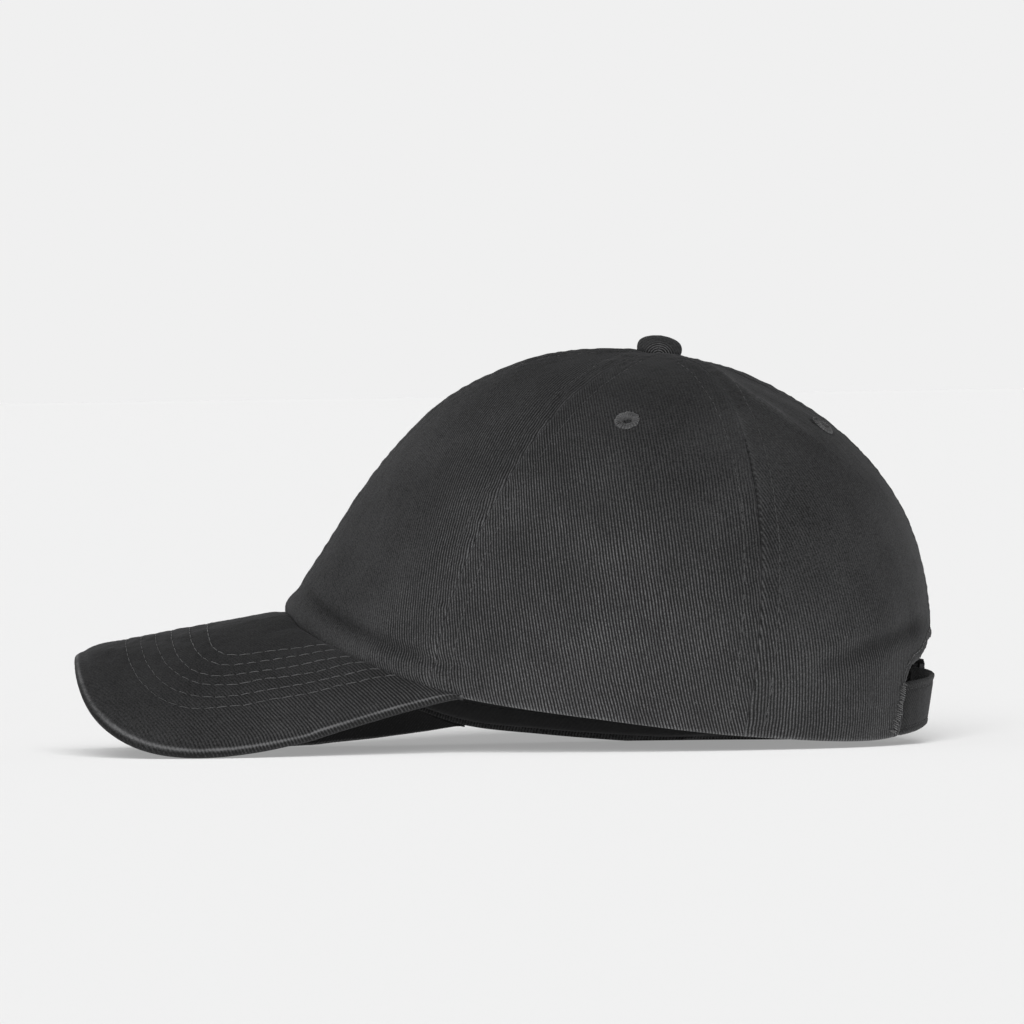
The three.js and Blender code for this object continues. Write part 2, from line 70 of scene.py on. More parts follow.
STRAP_RIGHT = [(-33.4, -2.0), (-28.8, -1.95), (-28.8, 1.95), (-33, 1.6), (-36.3, -2.2), (-39, -2.5), (-45.5, -2.6)]
EYELETS = {"side": (85.9, 0.386), "back": (157.4, 0.371)}

# six stitched rows of the peak, laid flat: distance of the row from the middle
# line at the crown's side and beside its bend, and its furthest point forward
PEAK_ROWS = [
    # side at the crown, side at the bend, front y, exponent
    (44.5, 41.9, -94.5, 4.0), (48.3, 47.9, -100.2, 3.45), (55.1, 53.6, -106.0, 3.4),
    (60.6, 58.6, -111.2, 3.0), (65.8, 63.8, -115.8, 3.1), (70.2, 68.6, -120.6, 3.1),
]

# photo angle: the picture's middle, its scale, the camera's height and its roll
AIM = (0.0, 3.33, 75.776)
DISTANCE = 5000.0
ELEVATION = math.asin(0.0291 * 0.32)
ROLL = 0.01484
LENS = 36.0 * DISTANCE / (1024 * 0.32)

rng = np.random.default_rng(7)


# ------------------------------------------------------------------- helpers
def smooth(a, b, x):
    t = np.clip((np.asarray(x, float) - a) / (b - a), 0, 1)
    return t * t * (3 - 2 * t)


def spline(values, t):
    values = np.asarray(values, float)
    last = len(values) - 1
    x = np.clip(np.asarray(t, float), 0, last)
    i = np.minimum(np.floor(x).astype(int), last - 1)
    f = x - i

    def take(k):
        k = np.clip(k, 0, last)
        return values[k] if values.ndim == 1 else values[(k,) + tuple(np.indices(x.shape))]
    p1, p2 = take(i), take(i + 1)
    p0 = np.where(i > 0, take(i - 1), 2 * p1 - p2)
    p3 = np.where(i + 2 <= last, take(i + 2), 2 * p2 - p1)
    return p1 + 0.5 * f * (p2 - p0 + f * (2 * p0 - 5 * p1 + 4 * p2 - p3 + f * (3 * (p1 - p2) + p3 - p0)))


def section(values, at):
    v = np.asarray(values, float)
    return spline(np.concatenate([[v[1]], v, [v[-2]]]), np.asarray(at, float) / 30 + 1)


RIM_POLAR = np.arctan2(SECTIONS[:, 1], SECTIONS[:, 2] - MID_Z)
RIM_REACH = np.hypot(SECTIONS[:, 1], SECTIONS[:, 2] - MID_Z)
FOOT = SECTIONS[:, 0]


def right_sag(x, y, z):
    drop = spline(RIGHT_SAG, (y + 90) / 25)
    return np.where(x < 0, drop * smooth(5, 62, -x) * (1 - smooth(16, 112, z)), 0.0)


def crown(u, v):
    """Outer face of the crown, (..., 3) mm. u: -180..180, v: 0 at the top to 1 at the rim."""
    u, v = np.broadcast_arrays(np.asarray(u, float), np.asarray(v, float))
    at = np.abs(u)
    turn = section(RIM_POLAR, at) * v
    radii = np.stack([np.full(at.shape, APEX_RADIUS)] + [section(SECTIONS[:, 3 + k], at) for k in range(7)]
                     + [section(RIM_REACH, at)])
    reach = spline(radii, v * 8)
    direction = spline(np.concatenate([[-FOOT[1]], FOOT, [360 - FOOT[-2]]]), at / 30 + 1)
    foot = np.radians(at + (direction - at) * np.clip(v, 0, None) ** 0.9)
    r = reach * np.sin(turn)
    x = r * np.sin(foot) * np.where(u < 0, -1, 1)
    y = APEX_Y - r * np.cos(foot)
    z = MID_Z + reach * np.cos(turn)
    z = z - right_sag(x, y, z)
    return np.stack([x, y, np.maximum(z, 0)], -1)


def unit(a):
    return a / np.maximum(np.linalg.norm(a, axis=-1, keepdims=True), 1e-12)


def crown_normal(u, v):
    u, v = np.broadcast_arrays(np.asarray(u, float), np.asarray(v, float))
    v0, v1 = np.maximum(v - 0.004, 0.012), np.minimum(v + 0.004, 0.995)
    vm = (v0 + v1) / 2
    n = unit(np.cross(crown(u + 0.4, vm) - crown(u - 0.4, vm), crown(u, v1) - crown(u, v0)))
    out = crown(u, v) - np.array([0, APEX_Y * 0.8, MID_Z])
    return np.where((n * out).sum(-1, keepdims=True) < 0, -n, n)


def noise_field(seed, scale, octaves=3):
    """Smooth random function of a point in mm, about -1..1, from a few tilted waves."""
    r = np.random.default_rng(seed)
    waves = []
    for o in range(octaves):
        for _ in range(7):
            d = r.normal(size=3)
            d /= np.linalg.norm(d)
            waves.append((d * 2 * math.pi / (scale / 1.9 ** o) * r.uniform(0.7, 1.3), r.uniform(0, 6.28), 0.62 ** o))
    total = math.sqrt(sum(w[2] ** 2 for w in waves) / 2)

    def f(p):
        out = np.zeros(p.shape[:-1])
        for k, phase, amp in waves:
            out += amp * np.sin(p @ k + phase)
        return out / total / 1.6
    return f


SAG_NOISE = noise_field(11, 62)
SMALL_NOISE = noise_field(12, 17)
PUCKER_NOISE = noise_field(13, 7.5, 2)
FINE_NOISE = noise_field(14, 3.2, 2)


def line_distance(y, z, points):
    """Distance in the side view to a polyline, and how far along it (0..1)."""
    best = np.full(y.shape, 1e9)
    along = np.zeros(y.shape)
    side = np.zeros(y.shape)
    pts = np.asarray(points, float)
    seg = np.hypot(*(pts[1:] - pts[:-1]).T)
    start = np.concatenate([[0], np.cumsum(seg)])
    for k in range(len(pts) - 1):
        a, b = pts[k], pts[k + 1]
        d = b - a
        t = np.clip(((y - a[0]) * d[0] + (z - a[1]) * d[1]) / (d @ d), 0, 1)
        dist = np.hypot(y - a[0] - t * d[0], z - a[1] - t * d[1])
        cross = d[0] * (z - a[1]) - d[1] * (y - a[0])
        closer = dist < best
        best = np.where(closer, dist, best)
        along = np.where(closer, (start[k] + t * seg[k]) / start[-1], along)
        side = np.where(closer, np.sign(cross), side)
    return best, along, side


CREASE = [(62.5, 124.2), (70.4, 119.3), (78.8, 112.7), (87.2, 107.3), (95.6, 101.3), (101, 97.5)]
CORNER_CREASE = [(133.5, 37.5), (127.5, 36.0), (114.5, 31.2), (102, 26.0)]


def relief(u, v, p):
    """Soft folds, dents and puckers of the cloth, in mm outwards."""
    x, y, z = p[..., 0], p[..., 1], p[..., 2]
    left = smooth(-4, 14, x)
    edge = 1 - 0.75 * np.exp(-(x / 14) ** 2)
    h = (0.3 * SAG_NOISE(p) * smooth(0.06, 0.3, v) + 0.1 * SMALL_NOISE(p)) * edge
    # sharp fold behind the button, on the left back panel, and the slope that falls away over it
    d, t, side = line_distance(y, z, CREASE)
    fade = np.sin(np.pi * np.clip(t * 0.93 + 0.05, 0, 1)) * left
    h += fade * (1.0 * np.exp(-(d / 1.6) ** 2) - 1.8 * np.exp(-((d - 5.0) / 4.0) ** 2) * smooth(0, 1, side))
    # fold that runs down and forward from the corner of the opening, with a swell under it
    d, t, side = line_distance(y, z, CORNER_CREASE)
    h += left * (1 - 0.7 * t) * smooth(0.0, 0.12, t) * (-1.7 * np.exp(-(d / 3.0) ** 2) + 0.8 * np.exp(-((d - 5.5) / 2.8) ** 2) * smooth(0, 1, -side) * smooth(0.12, 0.5, t))
    # soft dents of the left side
    for cy, cz, r, depth in ((92, 82, 13, 0.55), (113, 89, 10, 0.45), (-22, 66, 16, 0.4), (48, 34, 20, 0.3), (118, 60, 12, 0.35)):
        h -= left * depth * np.exp(-(((y - cy) ** 2 + (z - cz) ** 2) / r ** 2))
    # the hem's roll over the peak and the dent of the band's stitching above it
    above = rim_distance(u, v)
    near_peak = 1 - smooth(54, 74, np.abs(u))
    shape = 0.8 + 0.2 * smooth(10, 34, np.abs(u))
    h += near_peak * shape * (1.2 * np.exp(-((above - 4.2) / 3.0) ** 2) - (0.3 + 1.0 * smooth(8, 26, np.abs(u))) * np.exp(-((above - 9.4) / 1.9) ** 2))
    h -= near_peak * 0.8 * np.exp(-(above / 1.3) ** 2)
    h -= (1 - near_peak) * 0.16 * np.exp(-((above - 9.2) / 1.5) ** 2)
    h -= 0.9 * np.exp(-((y - 61) ** 2 + x ** 2 * 0.6) / 9.0 ** 2)
    # gathers where the peak's corner is sewn in
    corner = np.exp(-((np.abs(u) - 63) / 7.5) ** 2) * np.exp(-(above / 9.0) ** 2)
    h += corner * 0.42 * np.sin((y + 0.45 * z) * 1.25) * smooth(0, 0.4, corner)
    return h


def rim_distance(u, v):
    """Distance in mm up the wall from the rim."""
    polar = section(RIM_POLAR, np.abs(u))
    reach = section(RIM_REACH, np.abs(u))
    return (1 - v) * polar * (reach * 0.96)


SEAMS = (-180, -120, -60, 0, 60, 120, 180)


def seam_relief(distance, along, seed, z):
    """Ditch of a seam, the raised allowance beside it, dimples of its two rows of stitches."""
    d = np.abs(distance)
    depth = {0: 0.3, 60: 0.34, 120: 0.62, 180: 0.4}[abs(int(seed))]
    depth = depth * (1 - 0.55 * smooth(84, 104, z))
    h = -depth * np.exp(-(d / 0.42) ** 2) + 0.2 * (1 - smooth(5.4, 7.4, d)) - 0.16 * np.exp(-((d - 6.0) / 0.62) ** 2)
    if abs(int(seed)) == 120:
        h -= 0.3 * np.exp(-(d / 0.6) ** 2) * smooth(60, 68, z) * (1 - smooth(96, 102, z))
    h += (1 - smooth(5.6, 7.2, d)) * 0.09 * np.sin(along * 2 * math.pi / 5.2 + 3 * np.sin(along * 0.21 + seed))
    h += 0.05 * np.exp(-((d - 6.0) / 1.2) ** 2) * np.sin(along * 2 * math.pi / 2.6)
    return h


# ------------------------------------------------------------------- meshes
def add_mesh(name, verts, faces, uv=None, smooth_faces=True, extra=None):
    """verts in mm (n, 3); faces as an int array of quads or triangles or a list; uv (n, 2) per vertex."""
    mesh = bpy.data.meshes.new(name)
    verts = np.asarray(verts, float) / 1000.0
    if isinstance(faces, np.ndarray):
        faces = faces.tolist()
    mesh.from_pydata(verts.tolist(), [], faces)
    mesh.validate(verbose=False)
    if smooth_faces:
        mesh.polygons.foreach_set("use_smooth", np.ones(len(mesh.polygons), bool))
    if uv is not None:
        layer = mesh.uv_layers.new(name="weave")
        index = np.empty(len(mesh.loops), int)
        mesh.loops.foreach_get("vertex_index", index)
        layer.data.foreach_set("uv", np.asarray(uv, float)[index].ravel())
    if extra is not None:
        for key, values in extra.items():
            attribute = mesh.attributes.new(key, "FLOAT", "POINT")
            attribute.data.foreach_set("value", np.asarray(values, float))
    mesh.update()
    obj = bpy.data.objects.new(name, mesh)
    bpy.context.collection.objects.link(obj)
    return obj


def shell(name, outer, inner, uv_outer, uv_inner, keep=None, extra=None):
    """Closed skin between two grids of the same size; keep masks the quads."""
    n, m = outer.shape[:2]
    keep = np.ones((n - 1, m - 1), bool) if keep is None else keep
    ids = np.arange(n * m).reshape(n, m)
    i, j = np.nonzero(keep)
    q = np.stack([ids[i, j], ids[i + 1, j], ids[i + 1, j + 1], ids[i, j + 1]], 1)
    off = n * m
    faces = [q, q[:, ::-1] + off]
    pad = np.zeros((n + 1, m + 1), bool)
    pad[1:-1, 1:-1] = keep
    core = pad[1:-1, 1:-1]
    sides = []
    a = core & ~pad[:-2, 1:-1]
    i, j = np.nonzero(a)
    sides.append((ids[i, j], ids[i, j + 1]))
    a = core & ~pad[2:, 1:-1]
    i, j = np.nonzero(a)
    sides.append((ids[i + 1, j + 1], ids[i + 1, j]))
    a = core & ~pad[1:-1, :-2]
    i, j = np.nonzero(a)
    sides.append((ids[i + 1, j], ids[i, j]))
    a = core & ~pad[1:-1, 2:]
    i, j = np.nonzero(a)
    sides.append((ids[i, j + 1], ids[i + 1, j + 1]))
    for s, t in sides:
        faces.append(np.stack([s, t, t + off, s + off], 1))
    faces = np.concatenate(faces)
    verts = np.concatenate([outer.reshape(-1, 3), inner.reshape(-1, 3)])
    uv = np.concatenate([uv_outer.reshape(-1, 2), uv_inner.reshape(-1, 2)])
    used = np.unique(faces)
    remap = -np.ones(len(verts), int)
    remap[used] = np.arange(len(used))
    faces = remap[faces]
    verts, uv = verts[used], uv[used]
    if extra is not None:
        extra = {k: np.concatenate([a.ravel(), b.ravel()])[used] for k, (a, b) in extra.items()}
    # outward faces
    p = verts[faces]
    volume = (p[:, 0] * np.cross(p[:, 1], p[:, 2])).sum() + (p[:, 0] * np.cross(p[:, 2], p[:, 3])).sum()
    if volume < 0:
        faces = faces[:, ::-1]
    return add_mesh(name, verts, faces, uv, extra=extra)


def grid_normals(grid):
    du = np.gradient(grid, axis=0)
    dv = np.gradient(grid, axis=1)
    return unit(np.cross(du, dv))


def arc_uv(grid, centre):
    """Flat coordinates of a grid in mm: across from the centre column, and down along it."""
    m = grid.shape[1]
    step = np.linalg.norm(np.diff(grid, axis=1), axis=-1)
    across = np.concatenate([np.zeros((grid.shape[0], 1)), np.cumsum(step, 1)], 1)
    across = across - across[:, [centre]]
    down = np.linalg.norm(np.diff(grid[:, centre], axis=0), axis=-1)
    down = np.concatenate([[0], np.cumsum(down)])
    return np.stack([across, np.repeat(down[:, None], m, 1)], -1)


def picture(p):
    """Where points in mm fall in the 1024-pixel picture."""
    f = DISTANCE / (DISTANCE - p[..., 0])
    x = (p[..., 1] - AIM[1]) / 0.32 * f
    y = (236.8 - p[..., 2] / 0.32 + 0.0291 * p[..., 0]) * f
    c, s = math.cos(ROLL), math.sin(ROLL)
    return np.stack([512 + x * c + y * s, 512 + y * c - x * s], -1)


def weave_uv(grid, flat, i, j, normal_deg, period_px):
    """Turns flat mm coordinates so that U counts twill lines and V runs along them in mm."""
    px = picture(grid)
    jac = []
    for di, dj in ((0, 1), (1, 0)):
        a, b = px[i - di, j - dj], px[i + di, j + dj]
        fa, fb = flat[i - di, j - dj], flat[i + di, j + dj]
        jac.append((b - a, fb - fa))
    flat_m = np.array([jac[0][1], jac[1][1]])
    px_m = np.array([jac[0][0], jac[1][0]])
    to_px = np.linalg.solve(flat_m, px_m)          # rows: d px / d across, d px / d down
    k_px = np.array([math.cos(math.radians(normal_deg)), math.sin(math.radians(normal_deg))]) / period_px
    k = to_px @ k_px
    size = np.linalg.norm(k)
    k = k / size * min(max(size, 0.9), 1.5)
    along = np.array([-k[1], k[0]]) / np.linalg.norm(k)
    return k, along


# Where the lines of the crown's twill still show, and where washing has blurred
# them: y, z in the side view, mm; clear from 0 to 1.
CLEAR_SPOTS = np.array([
    # y, z, clear
    [44, 60, 1.0], [31, 41, 1.05], [19, 26, 1.05], [57, 22, 1.0], [38, 86, 0.65], [57, 95, 0.35], [50, 118, 0.06],
    [67, 41, 0.85], [70, 70, 0.6], [102, 34, 0.8], [95, 15, 0.85], [102, 60, 0.2], [111, 47, 0.2], [95, 85, 0.22],
    [83, 105, 0.08], [127, 59, 0.1], [121, 21, 0.6], [-20, 48, 0.95], [-10, 74, 0.95], [-26, 36, 0.8], [-39, 62, 0.15],
    [-52, 49, 0.1], [-55, 65, 0.06], [6, 99, 0.95], [-10, 100, 0.6], [-26, 90, 0.2], [-40, 80, 0.1], [19, 118, 0.4],
    [20, 60, 0.95], [5, 30, 0.9], [10, 85, 0.9], [0, 112, 0.2],
])


def clearness(p):
    """How clearly the twill's lines show at points of the crown, from the spots near them."""
    total = np.full(p.shape[:-1], 1e-4)
    value = total * 0.4
    for y, z, clear in CLEAR_SPOTS:
        w = np.exp(-((p[..., 1] - y) ** 2 + (p[..., 2] - z) ** 2) / (2 * 11.0 ** 2))
        total = total + w
        value = value + w * clear
    return value / total


# --------------------------------------------------------------- twill cloth
def node(tree, kind, **inputs):
    n = tree.nodes.new(kind)
    for key, value in inputs.items():
        if key in ("operation", "blend_type", "data_type", "attribute_name", "noise_dimensions", "uv_map",
                   "feature", "distance", "wave_type", "bands_direction", "wave_profile", "invert", "clamp_factor"):
            setattr(n, key, value)
    return n


def math_node(tree, operation, a, b=None, c=None):
    n = tree.nodes.new("ShaderNodeMath")
    n.operation = operation
    for k, value in enumerate((a, b, c)):
        if value is None:
            continue
        if isinstance(value, (int, float)):
            n.inputs[k].default_value = value
        else:
            tree.links.new(value, n.inputs[k])
    return n.outputs[0]


def noise_node(tree, vector, scale, detail=2.0, rough=0.5):
    n = tree.nodes.new("ShaderNodeTexNoise")
    n.inputs["Scale"].default_value = scale
    n.inputs["Detail"].default_value = detail
    n.inputs["Roughness"].default_value = rough
    tree.links.new(vector, n.inputs["Vector"])
    return n.outputs["Fac"]


def combine(tree, x, y, z=0.0):
    n = tree.nodes.new("ShaderNodeCombineXYZ")
    for k, value in enumerate((x, y, z)):
        if isinstance(value, (int, float)):
            n.inputs[k].default_value = value
        else:
            tree.links.new(value, n.inputs[k])
    return n.outputs[0]


def cloth_material(name, dark, light, contrast=1.0, bump=0.5, wash=1.0, sheen=0.1, lint=1.0, wear_and_painted_light=0.0, mapped=False):
    """Washed twill: diagonal ridges made of short floats, faded along their tops, with lint and cloudy fading."""
    m = bpy.data.materials.new(name)
    m.use_nodes = True
    t = m.node_tree
    t.nodes.clear()
    out = t.nodes.new("ShaderNodeOutputMaterial")
    shader = t.nodes.new("ShaderNodeBsdfPrincipled")
    t.links.new(shader.outputs[0], out.inputs[0])
    shader.inputs["Roughness"].default_value = 0.92
    shader.inputs["Specular IOR Level"].default_value = 0.18
    shader.inputs["Sheen Weight"].default_value = sheen
    shader.inputs["Sheen Roughness"].default_value = 0.45
    shader.inputs["Sheen Tint"].default_value = (0.75, 0.75, 0.77, 1)
    uv = t.nodes.new("ShaderNodeUVMap")
    uv.uv_map = "weave"
    split = t.nodes.new("ShaderNodeSeparateXYZ")
    t.links.new(uv.outputs[0], split.inputs[0])
    x, y = split.outputs[0], split.outputs[1]
    # the lines wander a little
    drift = noise_node(t, combine(t, math_node(t, "MULTIPLY", x, 0.16), math_node(t, "MULTIPLY", y, 0.1)), 1.0, 2.0, 0.5)
    xw = math_node(t, "ADD", x, math_node(t, "MULTIPLY", math_node(t, "SUBTRACT", drift, 0.5), 0.7))
    ridge = math_node(t, "MULTIPLY_ADD", math_node(t, "SINE", math_node(t, "MULTIPLY", xw, 2 * math.pi)), 0.5, 0.5)
    # floats: short bright pieces along each line
    floats = noise_node(t, combine(t, math_node(t, "MULTIPLY", xw, 1.6), math_node(t, "MULTIPLY", y, 1.1)), 1.0, 2.0, 0.6)
    grain = noise_node(t, combine(t, math_node(t, "MULTIPLY", xw, 1.9), math_node(t, "MULTIPLY", y, 2.1), 3.7), 1.0, 3.0, 0.7)
    # cloudy patches where the lines show more or less
    place = t.nodes.new("ShaderNodeTexCoord")
    cloud = noise_node(t, place.outputs["Object"], 34.0, 3.0, 0.55)
    patch = noise_node(t, place.outputs["Object"], 90.0, 2.0, 0.5)
    clarity = t.nodes.new("ShaderNodeMapRange")
    clarity.inputs["From Min"].default_value = 0.36
    clarity.inputs["From Max"].default_value = 0.62
    clarity.inputs["To Min"].default_value = 0.35
    clarity.inputs["To Max"].default_value = 1.0
    t.links.new(patch, clarity.inputs["Value"])
    shown = clarity.outputs[0]
    if mapped:
        clear = t.nodes.new("ShaderNodeAttribute")
        clear.attribute_name = "clear"
        clarity.inputs["To Min"].default_value = 0.75
        shown = math_node(t, "MULTIPLY", clarity.outputs[0], clear.outputs["Fac"])
    level = math_node(t, "MULTIPLY", math_node(t, "SUBTRACT", ridge, 0.5), math_node(t, "MULTIPLY", shown, 1.5 * contrast))
    level = math_node(t, "MULTIPLY", level, math_node(t, "ADD", math_node(t, "MULTIPLY", floats, 2.2), -0.08))
    level = math_node(t, "ADD", level, math_node(t, "MULTIPLY", math_node(t, "SUBTRACT", grain, 0.5), 2.2 * lint))
    level = math_node(t, "ADD", level, math_node(t, "MULTIPLY", math_node(t, "SUBTRACT", cloud, 0.5), 0.7 * wash))
    # the wear attribute holds rubbed threads on seams and edges, and also painted highlights and painted shade on
    # rolls, creases and the peak
    if wear_and_painted_light:
        edge = t.nodes.new("ShaderNodeAttribute")
        edge.attribute_name = "wear_and_painted_light"
        rubbed_and_painted_light = math_node(t, "MULTIPLY", edge.outputs["Fac"], math_node(t, "ADD", math_node(t, "MULTIPLY", floats, 1.2), 0.4))
        level = math_node(t, "ADD", level, math_node(t, "MULTIPLY", rubbed_and_painted_light, wear_and_painted_light))
    # the first half of the ramp is the dyed cloth, the second the worn threads on folds and the painted highlights;
    # negative values paint shade at the dark end
    level = math_node(t, "MULTIPLY", math_node(t, "ADD", level, 0.45), 0.5)
    ramp = t.nodes.new("ShaderNodeValToRGB")
    ramp.color_ramp.elements[0].position = 0.0
    ramp.color_ramp.elements[0].color = (*dark, 1)
    ramp.color_ramp.elements[1].position = 0.5
    ramp.color_ramp.elements[1].color = (*light, 1)
    worn_and_highlit_end = ramp.color_ramp.elements.new(1.0)
    worn_and_highlit_end.color = (light[0] * 2.6, light[1] * 2.6, light[2] * 2.6, 1)
    t.links.new(level, ramp.inputs[0])
    t.links.new(ramp.outputs[0], shader.inputs["Base Color"])
    height = math_node(t, "ADD", math_node(t, "MULTIPLY", ridge, 0.75), math_node(t, "MULTIPLY", grain, 0.5))
    b = t.nodes.new("ShaderNodeBump")
    b.inputs["Strength"].default_value = bump
    b.inputs["Distance"].default_value = 0.00022
    t.links.new(height, b.inputs["Height"])
    t.links.new(b.outputs[0], shader.inputs["Normal"])
    return m


def thread_material(name, dark, light, twist=1.0, sheen=0.4):
    """Spun cotton thread: fine twisted plies with lint."""
    m = bpy.data.materials.new(name)
    m.use_nodes = True
    t = m.node_tree
    shader = t.nodes["Principled BSDF"]
    shader.inputs["Roughness"].default_value = 0.7
    shader.inputs["Specular IOR Level"].default_value = 0.3
    shader.inputs["Sheen Weight"].default_value = sheen
    place = t.nodes.new("ShaderNodeTexCoord")
    uv = t.nodes.new("ShaderNodeUVMap")
    uv.uv_map = "weave"
    split = t.nodes.new("ShaderNodeSeparateXYZ")
    t.links.new(uv.outputs[0], split.inputs[0])
    ply = math_node(t, "SINE", math_node(t, "MULTIPLY", math_node(t, "ADD", split.outputs[0], split.outputs[1]), 2 * math.pi * twist))
    lint = noise_node(t, place.outputs["Object"], 2600.0, 3.0, 0.6)
    cloud = noise_node(t, place.outputs["Object"], 160.0, 2.0, 0.5)
    level = math_node(t, "MULTIPLY_ADD", ply, 0.22, 0.45)
    level = math_node(t, "ADD", level, math_node(t, "MULTIPLY", math_node(t, "SUBTRACT", lint, 0.5), 0.9))
    level = math_node(t, "ADD", level, math_node(t, "MULTIPLY", math_node(t, "SUBTRACT", cloud, 0.5), 1.1))
    ramp = t.nodes.new("ShaderNodeValToRGB")
    ramp.color_ramp.elements[0].color = (*dark, 1)
    ramp.color_ramp.elements[1].color = (*light, 1)
    t.links.new(level, ramp.inputs[0])
    t.links.new(ramp.outputs[0], shader.inputs["Base Color"])
    b = t.nodes.new("ShaderNodeBump")
    b.inputs["Strength"].default_value = 0.5
    b.inputs["Distance"].default_value = 0.0001
    t.links.new(level, b.inputs["Height"])
    t.links.new(b.outputs[0], shader.inputs["Normal"])
    return m


def grey(v, cool=1.02):
    return (v, v, v * cool)


PEAK_CLOTH = cloth_material("peak_twill", grey(0.0145), grey(0.072), contrast=1.05, bump=0.4, wear_and_painted_light=1.6, mapped=True)
BAND_CLOTH = cloth_material("band_cotton", grey(0.036), grey(0.06), contrast=0.15, bump=0.15, sheen=0.05, lint=0.5)
STRAP_CLOTH = cloth_material("strap_twill", grey(0.011), grey(0.055), contrast=0.35, bump=0.35, lint=1.1, wear_and_painted_light=0.7)
THREAD = thread_material("seam_thread", grey(0.03), grey(0.1), 1.0)
# very dark thread for the band, also used as painted shade in the gaps of the rear side seams
DARK_THREAD_AND_GAP_SHADE = thread_material("band_thread_and_gap_shade", grey(0.012), grey(0.03), 1.0, sheen=0.1)
STRAP_THREAD = thread_material("strap_thread", grey(0.018), grey(0.05), 1.0, sheen=0.1)
PEAK_THREAD = thread_material("peak_thread", grey(0.05), grey(0.17), 1.0)
EYELET_THREAD = thread_material("eyelet_thread", grey(0.02), grey(0.2), 0.5)


# -------------------------------------------------------------------- crown
def panel_rows(n):
    """Shares of the way down a panel, denser at the rim so that its edge can be rounded."""
    main = np.linspace(0, 1 - 0.0075, n - 4)
    return np.concatenate([main, [1 - 0.0052, 1 - 0.003, 1 - 0.0013, 1.0]])


def arch_height(x):
    xs = np.array([p[0] for p in ARCH])
    zs = np.array([p[1] for p in ARCH])
    return np.interp(x, xs, zs)


def arch_outline():
    """Closed outline of the opening in the x, z plane, in mm."""
    pts = [(ARCH[0][0], -12.0), ARCH[0]]
    inner = ARCH[1:]
    xs = np.array([p[0] for p in inner], float)
    zs = np.array([p[1] for p in inner], float)
    for t in np.linspace(0, len(inner) - 1, 61):
        pts.append((float(spline(xs, t)), float(spline(zs, t))))
    pts.append((ARCH[-1][0], -12.0))
    return np.array(pts)


OUTLINE = arch_outline()


def opening_distance(x, z):
    """Signed distance to the opening's edge in the x, z plane: negative inside it."""
    best = np.full(x.shape, 1e9)
    foot_x, foot_z = np.zeros(x.shape), np.zeros(x.shape)
    inside = np.zeros(x.shape, bool)
    n = len(OUTLINE)
    for k in range(n):
        a, b = OUTLINE[k], OUTLINE[(k + 1) % n]
        d = b - a
        crosses = ((a[1] > z) != (b[1] > z)) & (x < (b[0] - a[0]) * (z - a[1]) / (b[1] - a[1] + 1e-12) + a[0])
        inside ^= crosses
        if k == n - 1:
            continue
        t = np.clip(((x - a[0]) * d[0] + (z - a[1]) * d[1]) / max(d @ d, 1e-9), 0, 1)
        fx, fz = a[0] + t * d[0], a[1] + t * d[1]
        dist = np.hypot(x - fx, z - fz)
        closer = dist < best
        best = np.where(closer, dist, best)
        foot_x, foot_z = np.where(closer, fx, foot_x), np.where(closer, fz, foot_z)
    return np.where(inside, -best, best), foot_x, foot_z


TWILL_LINES = {
    # panel: where its lines are set in the side view (y, z), their direction there, their spacing in pixels
    "front": ((-20.0, 72.0), 15.0, 2.25),
    "side": ((38.0, 62.0), -8.0, 3.15),
    "back": ((103.0, 55.0), -17.0, 2.75),
}
PANELS = [("front_panel_left", 0, 60), ("side_panel_left", 60, 120), ("back_panel_left", 120, 180),
          ("front_panel_right", 0, -60), ("side_panel_right", -60, -120), ("back_panel_right", -120, -180)]
WEAVES = {}


